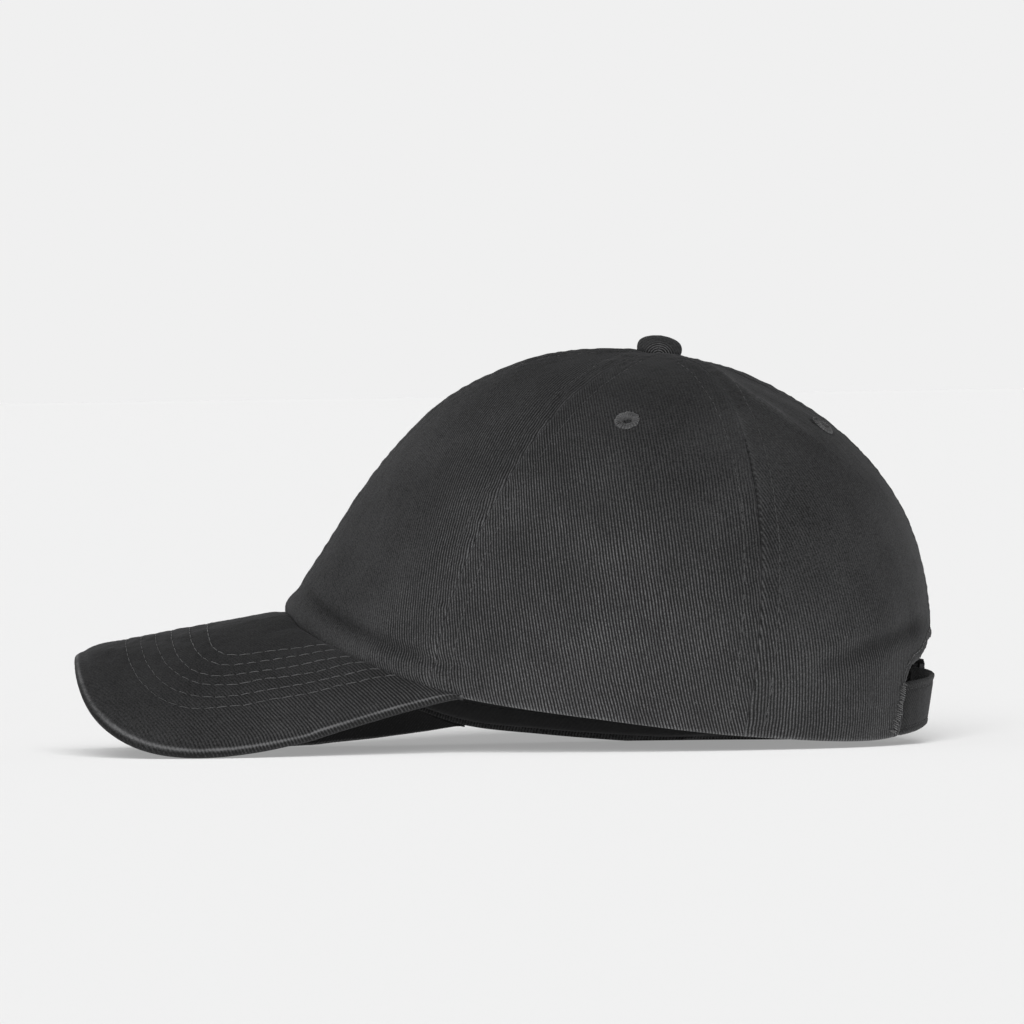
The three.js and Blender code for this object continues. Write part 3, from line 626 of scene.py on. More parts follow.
def make_panel(name, u0, u1, rows=168, columns=112):
    f = np.linspace(0, 1, columns + 1)
    # a few columns crowd against both seams, for the rounded fold there
    f = f - 0.04 * np.sin(2 * math.pi * f) * 0.9
    down = panel_rows(rows + 1)
    mid = u0 + (u1 - u0) * f
    polar = section(RIM_POLAR, np.abs(mid))
    v0 = np.arcsin(TIP_HOLE / APEX_RADIUS) / polar
    v = v0[None, :] + (1 - v0[None, :]) * down[:, None]
    r = APEX_RADIUS * np.sin(np.minimum(polar[None, :] * v, math.pi / 2))
    inset = np.degrees(0.12 / np.maximum(r, TIP_HOLE)) * (1 - 2 * f)[None, :] * np.sign(u1 - u0)
    u = mid[None, :] + inset
    base = crown(u, v)
    n = crown_normal(u, v)
    # distances in mm from both seams and along them
    per_degree = np.linalg.norm(crown(u + 0.5, v) - crown(u - 0.5, v), axis=-1)
    d0 = np.abs(u - u0) * per_degree
    d1 = np.abs(u - u1) * per_degree
    along = v * polar[None, :] * 90.0
    centre = columns // 2
    flat = arc_uv(base, centre)
    if u0 < 0 or u1 < 0:
        flat = flat * np.array([-1.0, 1.0])
    h = relief(u, v, base) + seam_relief(d0, along, u0, base[..., 2]) + seam_relief(d1, along, u1, base[..., 2])
    calm = 1 - 0.7 * np.exp(-(base[..., 0] / 10) ** 2)
    h += 0.24 * calm * (np.exp(-((d0 - 2.6) / 2.2) ** 2) + np.exp(-((d1 - 2.6) / 2.2) ** 2)) * PUCKER_NOISE(base)
    h += 0.05 * FINE_NOISE(base)
    # the panel tips flatten under the button
    h *= smooth(0.0, 0.05, v - v0[None, :])
    rim = rim_distance(u, v)
    h *= smooth(-0.5, 2.0, rim) * 0.85 + 0.15
    n_rim = n.copy()
    level = (rim < 0.6)[..., None]
    n_rim = np.where(level, unit(n * np.array([1, 1, 0])), n)
    # eyelets: the cloth dips towards the ring and sinks deeper under it
    hole = np.full(u.shape, 99.0)
    for at, ev in EYELETS.values():
        for side in (1, -1):
            if min(u0, u1) < at * side < max(u0, u1):
                c = crown(at * side, ev)
                hole = np.minimum(hole, np.linalg.norm(base - c, axis=-1))
    h -= 0.22 * np.exp(-((hole - 4.2) / 0.9) ** 2)
    h = np.where(hole < 3.7, -0.3 - 0.9 * (hole < 2.2), h)
    outer = base + n_rim * h[..., None]
    round_edge = 0.55 * (1 - np.sqrt(np.clip(1 - (1 - np.clip(rim / 0.7, 0, 1)) ** 2, 0, 1)))
    outer = outer - n_rim * round_edge[..., None]
    tape0, tape1 = (1 - smooth(7.0, 8.2, d0)), (1 - smooth(7.0, 8.2, d1))
    lining = CLOTH + 0.02 * FINE_NOISE(base) - 0.5 * (h * 0.7)
    tape = np.maximum(tape0, tape1) * smooth(8, 16, rim) * smooth(0.03, 0.09, v - v0[None, :])
    inner = base - n_rim * (lining + 0.42 * tape)[..., None]
    inner = inner + n_rim * (0.5 * round_edge)[..., None]
    # the turned-in edges meet behind the seam and close it
    step = unit(crown(u + 0.5, v) - crown(u - 0.5, v)) * np.sign(u1 - u0)
    inner = inner + step * (0.2 * (smooth(0.0, 1.6, d0) - smooth(0.0, 1.6, d1)))[..., None]
    keep = np.ones((u.shape[0] - 1, u.shape[1] - 1), bool)
    wear_and_painted_light = 0.45 * np.exp(-(np.minimum(d0, d1) / 0.9) ** 2) + 0.8 * np.exp(-(rim / 0.9) ** 2)
    # painted highlight on the hem's roll over the peak
    wear_and_painted_light += 0.24 * np.exp(-((rim - 5.0) / 2.4) ** 2) * (1 - smooth(50, 70, np.abs(u)))
    # painted shade in the groove of the band's stitching above the roll
    wear_and_painted_light -= 0.6 * np.exp(-((rim - 10.0) / 1.8) ** 2) * (1 - smooth(48, 62, np.abs(u))) * smooth(4, 20, np.abs(u))
    # lighter along the sharp fold behind the button: worn threads on its ridge and a painted highlight
    d, t, _ = line_distance(base[..., 1], base[..., 2], CREASE)
    wear_and_painted_light += 1.0 * np.exp(-(d / 0.9) ** 2) * np.sin(np.pi * np.clip(t, 0, 1)) * smooth(-4, 14, base[..., 0])
    # painted shade along the fold that runs from the corner of the opening
    d, t, _ = line_distance(base[..., 1], base[..., 2], CORNER_CREASE)
    wear_and_painted_light -= 0.95 * np.exp(-(d / 3.2) ** 2) * (1 - 0.6 * t) * smooth(-4, 14, base[..., 0])
    # painted shade along the hem's lower edge where it meets the peak
    wear_and_painted_light -= 0.45 * np.exp(-(rim / 1.2) ** 2) * (1 - smooth(52, 62, np.abs(u))) * 2.2
    if name.startswith("back"):
        d, fx, fz = opening_distance(outer[..., 0], outer[..., 2])
        cell = 0.75
        near = np.abs(d) < cell * 0.62
        gone = (d < 0) & ~near
        moved = outer.copy()
        moved[..., 0] = np.where(near, fx, outer[..., 0])
        moved[..., 2] = np.where(near, fz, outer[..., 2])
        shift = moved - outer
        outer, inner = moved, inner + shift
        bad = gone[:-1, :-1] | gone[1:, :-1] | gone[:-1, 1:] | gone[1:, 1:]
        keep &= ~bad
        # a quad whose four corners all lie on the edge is beyond it
        mid_x = (outer[:-1, :-1, 0] + outer[1:, 1:, 0]) / 2
        mid_z = (outer[:-1, :-1, 2] + outer[1:, 1:, 2]) / 2
        dm, _, _ = opening_distance(mid_x, mid_z)
        keep &= dm > -0.05
        hem = np.clip(d, 0, None)
        lift = 0.12 * (1 - smooth(2.2, 3.4, hem)) - 0.3 * np.exp(-((hem - 3.1) / 0.5) ** 2)
        lift -= 0.6 * np.exp(-(hem / 0.5) ** 2)
        outer = outer + n_rim * lift[..., None]
        inner = inner + n_rim * (0.3 * np.exp(-(hem / 0.6) ** 2))[..., None]
        wear_and_painted_light += 0.5 * np.exp(-(hem / 0.9) ** 2)
    outer[..., 2] = np.maximum(outer[..., 2], 0.0)
    inner[..., 2] = np.maximum(inner[..., 2], 0.0)
    kind = name.split("_")[0]
    side = "left" if u1 > 0 or u0 > 0 else "right"
    if side == "left":
        (ty, tz), normal, period = TWILL_LINES[kind]
        inside = base[4:-4, 6:-6]
        spot = np.argmin(np.hypot(inside[..., 1] - ty, inside[..., 2] - tz))
        i, j = np.unravel_index(spot, inside.shape[:2])
        WEAVES[kind] = weave_uv(base, flat, i + 4, j + 6, normal, period)
    k, direction = WEAVES[kind]
    weave = np.stack([flat @ k, flat @ direction], -1)
    obj = shell(name + "_cloth", outer, inner, weave, weave + 31.7, keep,
                extra={"wear_and_painted_light": (np.clip(wear_and_painted_light, -0.9, 1), np.zeros(wear_and_painted_light.shape)), "clear": (clearness(base), np.full(wear_and_painted_light.shape, 0.35))})
    obj.data.materials.append(TWILL_WORN_AND_PAINTED_LIGHT)
    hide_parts(name)
    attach(obj, "root")
    return obj


# crown twill: worn threads, plus painted highlights and painted shade from the wear attribute
TWILL_WORN_AND_PAINTED_LIGHT = cloth_material("washed_twill_worn_and_painted_light", grey(0.0145), grey(0.082), contrast=1.2, bump=0.42, wear_and_painted_light=0.6, mapped=True)

for name, u0, u1 in PANELS:
    make_panel(name, u0, u1)


# ---------------------------------------------------------------- stitching
class Stitches:
    """Collects short thread bars that follow given points, as one mesh."""

    def __init__(self, name, material, slot, radius):
        self.name, self.material, self.slot, self.radius = name, material, slot, radius
        self.verts, self.faces, self.uv = [], [], []

    def bar(self, a, b, normal, radius=None, bow=0.25, sink=0.18):
        """One stitch from a to b on a surface with that normal: it dives in at both ends."""
        radius = radius or self.radius
        axis = b - a
        length = np.linalg.norm(axis)
        if length < 0.2:
            return
        axis = axis / length
        side = np.cross(axis, normal)
        side /= np.linalg.norm(side)
        up = np.cross(side, axis)
        ring, steps = 6, 5
        start = len(self.verts)
        for k in range(steps):
            t = k / (steps - 1)
            swell = math.sin(math.pi * (0.12 + 0.76 * t)) ** 0.5
            centre = a + axis * length * t + up * (radius * bow + radius * 0.9 * math.sin(math.pi * t) - sink)
            for q in range(ring):
                w = 2 * math.pi * q / ring
                p = centre + radius * swell * (side * math.cos(w) * 1.05 + up * math.sin(w) * 0.8)
                self.verts.append(p)
                self.uv.append((q / ring, t * length / (radius * 5)))
        for k in range(steps - 1):
            for q in range(ring):
                self.faces.append((start + k * ring + q, start + k * ring + (q + 1) % ring,
                                   start + (k + 1) * ring + (q + 1) % ring, start + (k + 1) * ring + q))
        self.faces.append(tuple(start + q for q in range(ring))[::-1])
        self.faces.append(tuple(start + (steps - 1) * ring + q for q in range(ring)))

    def row(self, points, normals, pitch, length, wander=0.0, keep=None, seed=1, lift=0.0, thin=None, fill=False):
        """Even stitches along a path of points, each length long every pitch."""
        points, normals = np.asarray(points), np.asarray(normals)
        seg = np.linalg.norm(np.diff(points, axis=0), axis=1)
        s = np.concatenate([[0], np.cumsum(seg)])
        r = np.random.default_rng(seed)
        at = 0.3 * pitch
        if fill:
            at = 0.0
            pitch = (s[-1] - length) / round((s[-1] - length) / pitch)
        while at + 0.95 * length < s[-1]:
            long = length * r.uniform(0.88, 1.08)
            a = np.array([np.interp(at, s, points[:, k]) for k in range(3)])
            b = np.array([np.interp(at + long, s, points[:, k]) for k in range(3)])
            n = np.array([np.interp(at + long / 2, s, normals[:, k]) for k in range(3)])
            n /= np.linalg.norm(n)
            if keep is None or keep((a + b) / 2):
                off = np.cross(b - a, n)
                off = off / max(np.linalg.norm(off), 1e-9) * r.normal() * wander
                radius = None if thin is None else self.radius * float(thin(a))
                self.bar(a + off + n * lift, b + off * r.uniform(0.3, 1) + n * lift, n, radius)
            at += pitch if fill else pitch * r.uniform(0.95, 1.05)

    def build(self):
        obj = add_mesh(self.name, np.array(self.verts), self.faces, np.array(self.uv))
        obj.data.materials.append(self.material)
        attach(obj, "root")
        return obj


def crown_path(u, v, with_relief=True):
    """Points and normals on the finished cloth at stations u and shares v."""
    p = crown(u, v)
    n = crown_normal(u, v)
    if with_relief:
        p = p + n * relief(u, v, p)[..., None]
    return p, n


def open_at(p):
    """True where the crown's cloth is, away from the opening at the back."""
    if p[1] < 90:
        return True
    d, _, _ = opening_distance(np.array([p[0]]), np.array([p[2]]))
    return bool(d[0] > 2.6)


seam_thread = Stitches("crown_topstitching", THREAD, "thread", 0.18)
for index, seam in enumerate((0, 60, 120, 180, -60, -120)):
    for side in (-1, 1):
        v = np.linspace(0.1, 0.985, 260)
        u = np.full(v.shape, float(seam))
        scale = np.linalg.norm(crown(u + 0.5, v) - crown(u - 0.5, v), axis=-1)
        gap = 6.0 * smooth(0.02, 0.16, v) + 0.0 * v
        u = u + side * gap / scale
        u = np.where(u > 180, u - 360, u)
        p, n = crown_path(u, v)
        seam_thread.row(p, n, 3.3, 2.6, wander=0.08, keep=open_at, seed=20 + 2 * index + side, lift=0.06 if seam in (0, 180) else 0.12,
                        thin=lambda q: 0.55 + 0.45 * (1 - smooth(66, 96, q[2])))
# the band's row of stitches above the rim
for lo, hi in ((-150, 150),):
    u = np.linspace(lo, hi, 900)
    polar, reach = section(RIM_POLAR, np.abs(u)), section(RIM_REACH, np.abs(u))
    v = 1 - 9.2 / (polar * reach * 0.96)
    p, n = crown_path(u, v)
    seam_thread.row(p, n, 3.4, 2.3, wander=0.06, keep=open_at, seed=51, lift=-0.12)
seam_thread.build()

# open stitches of the two rear side seams, where the seam is pulled apart: very dark bars sunk into the seam paint the
# shade in its gaps
holes = Stitches("seam_gap_shade_bars", DARK_THREAD_AND_GAP_SHADE, "thread", 0.3)
for seam in (120, -120):
    v = np.linspace(0.1, 0.985, 400)
    p, n = crown_path(np.full(v.shape, float(seam)), v)
    level = (p[:, 2] > 64) & (p[:, 2] < 99)
    holes.row(p[level], n[level], 2.35, 1.15, wander=0.05, seed=seam + 200, lift=-0.12)
holes.build()

# hem of the opening: stitches round its edge
hem_thread = Stitches("opening_stitching", THREAD, "thread", 0.19)
edge = OUTLINE[1:-1]
seg = np.hypot(*np.diff(edge, axis=0).T)
s = np.concatenate([[0], np.cumsum(seg)])
lookup_u = {}
for side in (1, -1):
    uu = np.linspace(128, 180, 105) * side
    vv = np.linspace(0.6, 1.0, 161)
    gu, gv = np.meshgrid(uu, vv)
    lookup_u[side] = (gu, gv, crown(gu, gv))


def on_back(x, z):
    """Point and normal of the crown at that x, z near the opening."""
    side = 1 if x >= 0 else -1
    gu, gv, gp = lookup_u[side]
    d = (gp[..., 0] - x) ** 2 + (gp[..., 2] - z) ** 2
    k = np.unravel_index(np.argmin(d), d.shape)
    p, n = crown_path(np.array([gu[k]]), np.array([gv[k]]))
    q = p[0].copy()
    q[0], q[2] = x, z
    return q, n[0]


for distance, pitch, slant in ((2.9, 2.6, 0.0),):
    at = 0.5
    centre = np.array([0.0, 12.0])
    while at < s[-1] - 0.5:
        c = np.array([np.interp(at, s, edge[:, 0]), np.interp(at, s, edge[:, 1])])
        c2 = np.array([np.interp(at + 0.5, s, edge[:, 0]), np.interp(at + 0.5, s, edge[:, 1])])
        t = (c2 - c) / max(np.linalg.norm(c2 - c), 1e-9)
        out = np.array([-t[1], t[0]])
        if out @ (c - centre) < 0:
            out = -out
        a2 = c + out * distance - t * 0.9
        b2 = c + out * distance + t * 0.9
        a, na = on_back(*a2)
        b, nb = on_back(*b2)
        hem_thread.bar(a + na * 0.1, b + nb * 0.1, na)
        at += pitch
# bar tacks that hold the strap's ends
tack_random = np.random.default_rng(12)
for x0, x1, low, high in ((38.4, 40.6, 19.5, 4.0), (-38.4, -39.2, 22.0, 7.5)):
    for z in np.arange(high, low, 0.66):
        middle = x0 + (x1 - x0) * (low - z) / (low - high) + tack_random.normal() * 0.18
        reach = 1.5 + tack_random.normal() * 0.2
        a, na = on_back(middle - reach, z)
        b, nb = on_back(middle + reach, z + 0.9 + tack_random.normal() * 0.25)
        hem_thread.bar(a + na * 0.3, b + nb * 0.3, na, radius=0.15)
hem_thread.build()


# --------------------------------------------------------------------- peak
def peak_height(x, y):
    bend = PEAK_BEND + 0.3 * np.maximum(0, y - PEAK_WIDEST_Y)
    ridge = 46.4 + 0.185 * (y + 70.1)
    return ridge - (bend - np.sqrt(np.maximum(bend * bend - x * x, 0)))


def peak_top(share, b):
    """Point of the peak's upper face at a signed share of its outline and a share of the way out."""
    share, b = np.broadcast_arrays(np.asarray(share, float), np.asarray(b, float))
    side = np.where(share < 0, -1.0, 1.0)
    t = np.abs(share)
    u = PEAK_CORNER * share
    root = crown(u, np.ones_like(u))
    away = crown_normal(u, np.full(u.shape, 0.99))
    away = unit(away * np.array([1, 1, 0]))
    root = root + away * 2 * GAP
    corner = crown(np.array([PEAK_CORNER]), np.array([1.0]))[0]
    turn = 0.7
    angle = np.clip(t / turn, 0, 1) * math.pi / 2
    sin, cos = np.sin(angle), np.maximum(np.cos(angle), 0)
    reach = (sin ** PEAK_SQUARENESS + cos ** PEAK_SQUARENESS) ** (-1 / PEAK_SQUARENESS)
    flat = np.where(t <= turn, PEAK_HALF * reach * sin, PEAK_HALF)
    ex = PEAK_BEND * np.sin(flat / PEAK_BEND)
    ey = PEAK_WIDEST_Y - PEAK_LENGTH * reach * cos
    f = np.clip((t - turn) / (1 - turn), 0, 1)
    start = PEAK_BEND * math.sin(PEAK_HALF / PEAK_BEND)
    ex = np.where(t > turn, start + (corner[0] + 0.6 - start) * f, ex) * side
    ey = np.where(t > turn, PEAK_WIDEST_Y + (corner[1] - 1.6 - PEAK_WIDEST_Y) * f, ey)
    x = root[..., 0] + (ex - root[..., 0]) * b
    y = root[..., 1] + (ey - root[..., 1]) * b
    length = np.hypot(root[..., 0] - ex, root[..., 1] - ey)
    lift = np.interp(root[..., 1], JUNCTION["y"], JUNCTION["lift"]) * (1 - b) ** 2
    near = np.clip(1 - (1 - b) * length / PEAK_CURL_REACH, 0, 1)
    curl = PEAK_CURL * np.maximum(0, 1 - (flat / PEAK_HALF) ** 4) * near * near
    z = peak_height(x, y) + lift - curl
    z = z - right_sag(x, y, z)
    return np.stack([x, y, z], -1), length


def peak_flat(x, y):
    """Distance from the middle line when the peak is laid flat."""
    bend = PEAK_BEND + 0.3 * np.maximum(0, y - PEAK_WIDEST_Y)
    return bend * np.arcsin(np.clip(x / bend, -1, 1))


def row_path(row, n=220):
    """Points of one stitched row, laid flat: (flat distance, y) from the right side over the front to the left."""
    side_root, side_bend, front, power = row
    a = np.linspace(-math.pi / 2, math.pi / 2, n)
    sin, cos = np.abs(np.sin(a)), np.cos(a)
    reach = (sin ** power + cos ** power) ** (-1 / power)
    flat = side_bend * reach * np.sin(a)
    y = -76.0 + (front + 76.0) * reach * cos
    tail_y = np.linspace(-76.0, -20.0, 60)[1:]
    slope = (side_root - side_bend) / 44.0
    tail = side_bend + slope * (tail_y + 76.0)
    flat = np.concatenate([-tail[::-1], flat, tail])
    y = np.concatenate([tail_y[::-1], y, tail_y])
    return flat, y


def peak_surface(flat, y):
    """Upper face of the peak from flat distance and y, by solving for x."""
    bend = PEAK_BEND + 0.3 * np.maximum(0, y - PEAK_WIDEST_Y)
    x = bend * np.sin(flat / bend)
    z = peak_height(x, y)
    return x, z


def make_peak():
    half_n, out_n = 150, 108
    t = np.linspace(-1, 1, 2 * half_n + 1)
    b = np.linspace(0, 1, out_n + 1)
    b = 1 - (1 - b) ** 1.28
    share, bb = np.meshgrid(t, b, indexing="ij")
    top, length = peak_top(share, bb)
    n = grid_normals(top)
    n = np.where(n[..., [2]] < 0, -n, n)
    out = unit(np.gradient(top, axis=1))
    # the short last rows at both tips follow the rows beside them
    n[:6], n[-6:] = n[6], n[-7]
    out[:6], out[-6:] = out[6], out[-7]
    to_edge = (1 - bb) * length
    # quilting: each stitched row pulls the cloth down a little and puckers it
    x, y = top[..., 0], top[..., 1]
    flat = peak_flat(x, y)
    h = 0.10 * SMALL_NOISE(top) + 0.045 * FINE_NOISE(top)
    pull = np.zeros(x.shape)
    pts = np.stack([flat, y], -1)
    for row in PEAK_ROWS:
        rf, ry = row_path(row, 160)
        path = np.stack([rf, ry], -1)
        best = np.full(x.shape, 99.0)
        for k in range(0, len(path) - 1):
            a, c = path[k], path[k + 1]
            d = c - a
            w = np.clip(((pts - a) @ d) / max(d @ d, 1e-9), 0, 1)
            best = np.minimum(best, np.hypot(pts[..., 0] - a[0] - w * d[0], pts[..., 1] - a[1] - w * d[1]))
        pull = np.maximum(pull, np.exp(-(best / 0.75) ** 2))
    h -= 0.16 * pull
    h += 0.12 * PUCKER_NOISE(top) * smooth(0.0, 0.3, 1 - np.abs(to_edge - 28) / 22)
    # the cover is pulled over the board's edge
    h -= 0.14 * np.exp(-((to_edge - 3.4) / 0.8) ** 2)
    h += 0.12 * np.exp(-((to_edge - 1.4) / 1.2) ** 2)
    h *= smooth(0, 2.5, bb * length)
    h -= 0.5 * np.exp(-(bb * length / 1.6) ** 2)
    half = PEAK_THICK / 2
    full = 0.5 + 0.8 * smooth(0.12, 0.3, np.abs(share)) * (1 - smooth(0.6, 0.72, np.abs(share)))
    top = top + out * (full * (1 - smooth(0, 5.0, to_edge)))[..., None]
    upper = top + n * h[..., None]
    # rounded edge: the last grid columns wrap over and join the under face
    roundness = half * (1 - np.sqrt(np.clip(1 - (1 - np.clip(to_edge / half, 0, 1)) ** 2, 0, 1)))
    upper = upper - n * roundness[..., None] * 0.96
    lower = top - n * PEAK_THICK
    lower = lower + n * (0.05 * SMALL_NOISE(top) + 0.3 * pull * 0.8)[..., None]
    lower = lower + n * roundness[..., None] * 0.96
    # the root's cloth is turned in under the crown's hem
    away = crown_normal(PEAK_CORNER * share[:, 0], np.full(len(t), 0.99))
    away = unit(away * np.array([1, 1, 0]))
    inward = smooth(0.0, 0.06, 1 - np.abs(t))[:, None]
    lower[:, 0, :2] = top[:, 0, :2] - away[:, :2] * 1.7 * inward
    upper[:, 0, :2] = upper[:, 0, :2] - away[:, :2] * 0.55 * inward
    upper[..., 2] = np.maximum(upper[..., 2], 0.0)
    lower[..., 2] = np.maximum(lower[..., 2], 0.0)
    # lighter along the edge's fold: worn threads and a painted highlight; painted shade on the turned-down face of the
    # edge
    wear_and_painted_light = 1.1 * np.exp(-((to_edge - 1.5) / 0.4) ** 2) * (0.85 + 0.3 * SMALL_NOISE(top)) - 0.3 * (1 - smooth(0.5, 1.1, to_edge))
    # the under face is painted darker as shade, and lighter along its worn edge fold
    under_face_shade_and_wear = -0.4 + 0.7 * np.exp(-((to_edge - 0.9) / 0.5) ** 2)
    clear = 0.08 + 0.62 * smooth(46, 74, np.abs(flat)) * smooth(-130, -66, y) + 0.2 * smooth(-50, -30, y)
    uv_flat = np.stack([flat, -y], -1)
    # the direction of the lines is set on the near slope
    i = int(np.argmin(np.abs(t - 0.5)))
    j = int(np.argmin(np.abs(b - 0.62)))
    k, direction = weave_uv(top, uv_flat, i, j, -45.0, 2.8)
    weave = np.stack([uv_flat @ k, uv_flat @ direction], -1)
    obj = shell("peak_cloth", upper, lower, weave, weave + 17.3,
                extra={"wear_and_painted_light": (np.clip(wear_and_painted_light, -0.5, 1.2), under_face_shade_and_wear), "clear": (clear, np.full(clear.shape, 0.3))})
    obj.data.materials.append(PEAK_CLOTH)
    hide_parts("peak")
    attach(obj, "root")
    return top, n, upper


PEAK_GRID, PEAK_N, PEAK_UPPER = make_peak()


def junction_y(flat_side, x):
    """Always True: every point of the peak counts as in front of the crown."""
    return True


peak_thread = Stitches("peak_stitching", PEAK_THREAD, "thread", 0.17)
root_curve = PEAK_GRID[:, 0]
for index, row in enumerate(PEAK_ROWS):
    rf, ry = row_path(row, 260)
    x, z = peak_surface(rf, ry)
    # stop short of the crown
    rx = np.interp(np.abs(x), root_curve[150:, 0], root_curve[150:, 1])
    in_front = ry < rx + 0.3
    first, last = np.argmax(in_front), len(in_front) - np.argmax(in_front[::-1])
    rf, ry, x = rf[first:last], ry[first:last], x[first:last]
    # height and normal from the finished grid, at the nearest point
    flat_grid = PEAK_UPPER.reshape(-1, 3)
    pts, nrm = [], []
    gx, gy = flat_grid[:, 0], flat_grid[:, 1]
    gn = PEAK_N.reshape(-1, 3)
    for px, py in zip(x, ry):
        d = (gx - px) ** 2 + (gy - py) ** 2
        k = np.argpartition(d, 5)[:5]
        w = 1 / (d[k] + 0.02)
        zz = (flat_grid[k, 2] * w).sum() / w.sum()
        pts.append((px, py, zz))
        nrm.append(unit((gn[k] * w[:, None]).sum(0)))
    peak_thread.row(np.array(pts), np.array(nrm), 4.2, 3.3, wander=0.06, seed=70 + index, lift=0.2,
                    thin=lambda q: 0.44 + 0.56 * smooth(-112, -80, q[1]), fill=True)
peak_thread.build()


# -------------------------------------------------------------------- button
def make_button():
    around, up = 120, 54
    profile = [(4.6, -3.4), (4.6, -2.3), (2.7, -2.1), (2.7, -0.3), (5.4, -0.5), (6.8, -0.5), (7.2, 0.3), (7.3, 1.5), (7.15, 2.6),
               (6.5, 3.7), (5.0, 4.65), (2.8, 5.3), (0.0, 5.6)]
    pr = np.array([p[0] for p in profile])
    pz = np.array([p[1] for p in profile])
    s = np.concatenate([[0], np.cumsum(np.hypot(np.diff(pr), np.diff(pz)))])
    t = np.linspace(0, s[-1], up + 1)
    r, z = np.interp(t, s, pr), np.interp(t, s, pz)
    for _ in range(2):
        r[1:-1] = (r[:-2] + 2 * r[1:-1] + r[2:]) / 4
        z[1:-1] = (z[:-2] + 2 * z[1:-1] + z[2:]) / 4
    a = np.linspace(0, 2 * math.pi, around, endpoint=False)
    A, R = np.meshgrid(a, r, indexing="ij")
    _, Z = np.meshgrid(a, z, indexing="ij")
    x, y = R * np.cos(A), R * np.sin(A)
    # gathered cloth: curved folds about a point low on the left side
    d = np.hypot(y + 0.3, (Z + 1.3) * 1.15)
    face = smooth(1.5, 5.0, x) * (1 - smooth(3.9, 4.7, Z)) * smooth(-0.3, 0.3, Z) * (1 - smooth(5.4, 6.6, d))
    folds = 0.05 * np.sin(d * 2 * math.pi / 1.3) * face * smooth(0.8, 1.8, d)
    other = 0.06 * np.sin(A * 22 + 2 * np.sin(A * 3)) * smooth(3.6, 1.2, Z) * smooth(-0.3, 0.4, Z) * (1 - face)
    k = 1 + (folds + other) / np.maximum(R, 1.5) * (R > 3.0)
    k *= 1 + 0.012 * np.sin(A * 2 + 0.7) * (R > 3)
    pts = np.stack([x * k, y * k, Z + 0.1 * np.sin(A * 3 + 1) * (R / 7) * (Z > 1)], -1)
    turn = np.array(Matrix.Rotation(math.radians(-7), 3, "X"))
    pts = pts @ turn.T + np.array([0, APEX_Y, APEX_Z - 0.25])
    n, m = pts.shape[:2]
    verts = pts.reshape(-1, 3)
    ids = np.arange(n * m).reshape(n, m)
    nxt = np.roll(ids, -1, 0)
    q = np.stack([ids[:, :-1], nxt[:, :-1], nxt[:, 1:], ids[:, 1:]], -1).reshape(-1, 4)
    verts = np.concatenate([verts, [pts[:, 0].mean(0)]])
    faces = q.tolist() + [(int(nxt[i, 0]), int(ids[i, 0]), n * m) for i in range(n)]
    # the pulled cloth's lines bow round a point low on the side
    bow = np.hypot(y + 0.1, (Z + 0.7) * 1.2)
    uv = np.stack([bow / 0.8, 5 * np.arctan2(Z + 0.7, y) + x * 0.5], -1).reshape(-1, 2)
    uv = np.concatenate([uv, [[0, 0]]])
    clear = (0.06 + 1.1 * (1 - smooth(3.4, 5.8, bow)) * smooth(-2, 3, x)).ravel()
    obj = add_mesh("button_cloth", verts, faces, uv, extra={"wear_and_painted_light": np.zeros(len(verts)), "clear": np.concatenate([clear, [0.2]])})
    bm_merge(obj)
    obj.data.materials.append(TWILL_WORN_AND_PAINTED_LIGHT)
    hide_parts("button")
    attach(obj, "root")


def bm_merge(obj):
    import bmesh
    bm = bmesh.new()
    bm.from_mesh(obj.data)
    bmesh.ops.remove_doubles(bm, verts=bm.verts, dist=1e-6)
    bmesh.ops.recalc_face_normals(bm, faces=bm.faces)
    bm.to_mesh(obj.data)
    bm.free()


make_button()


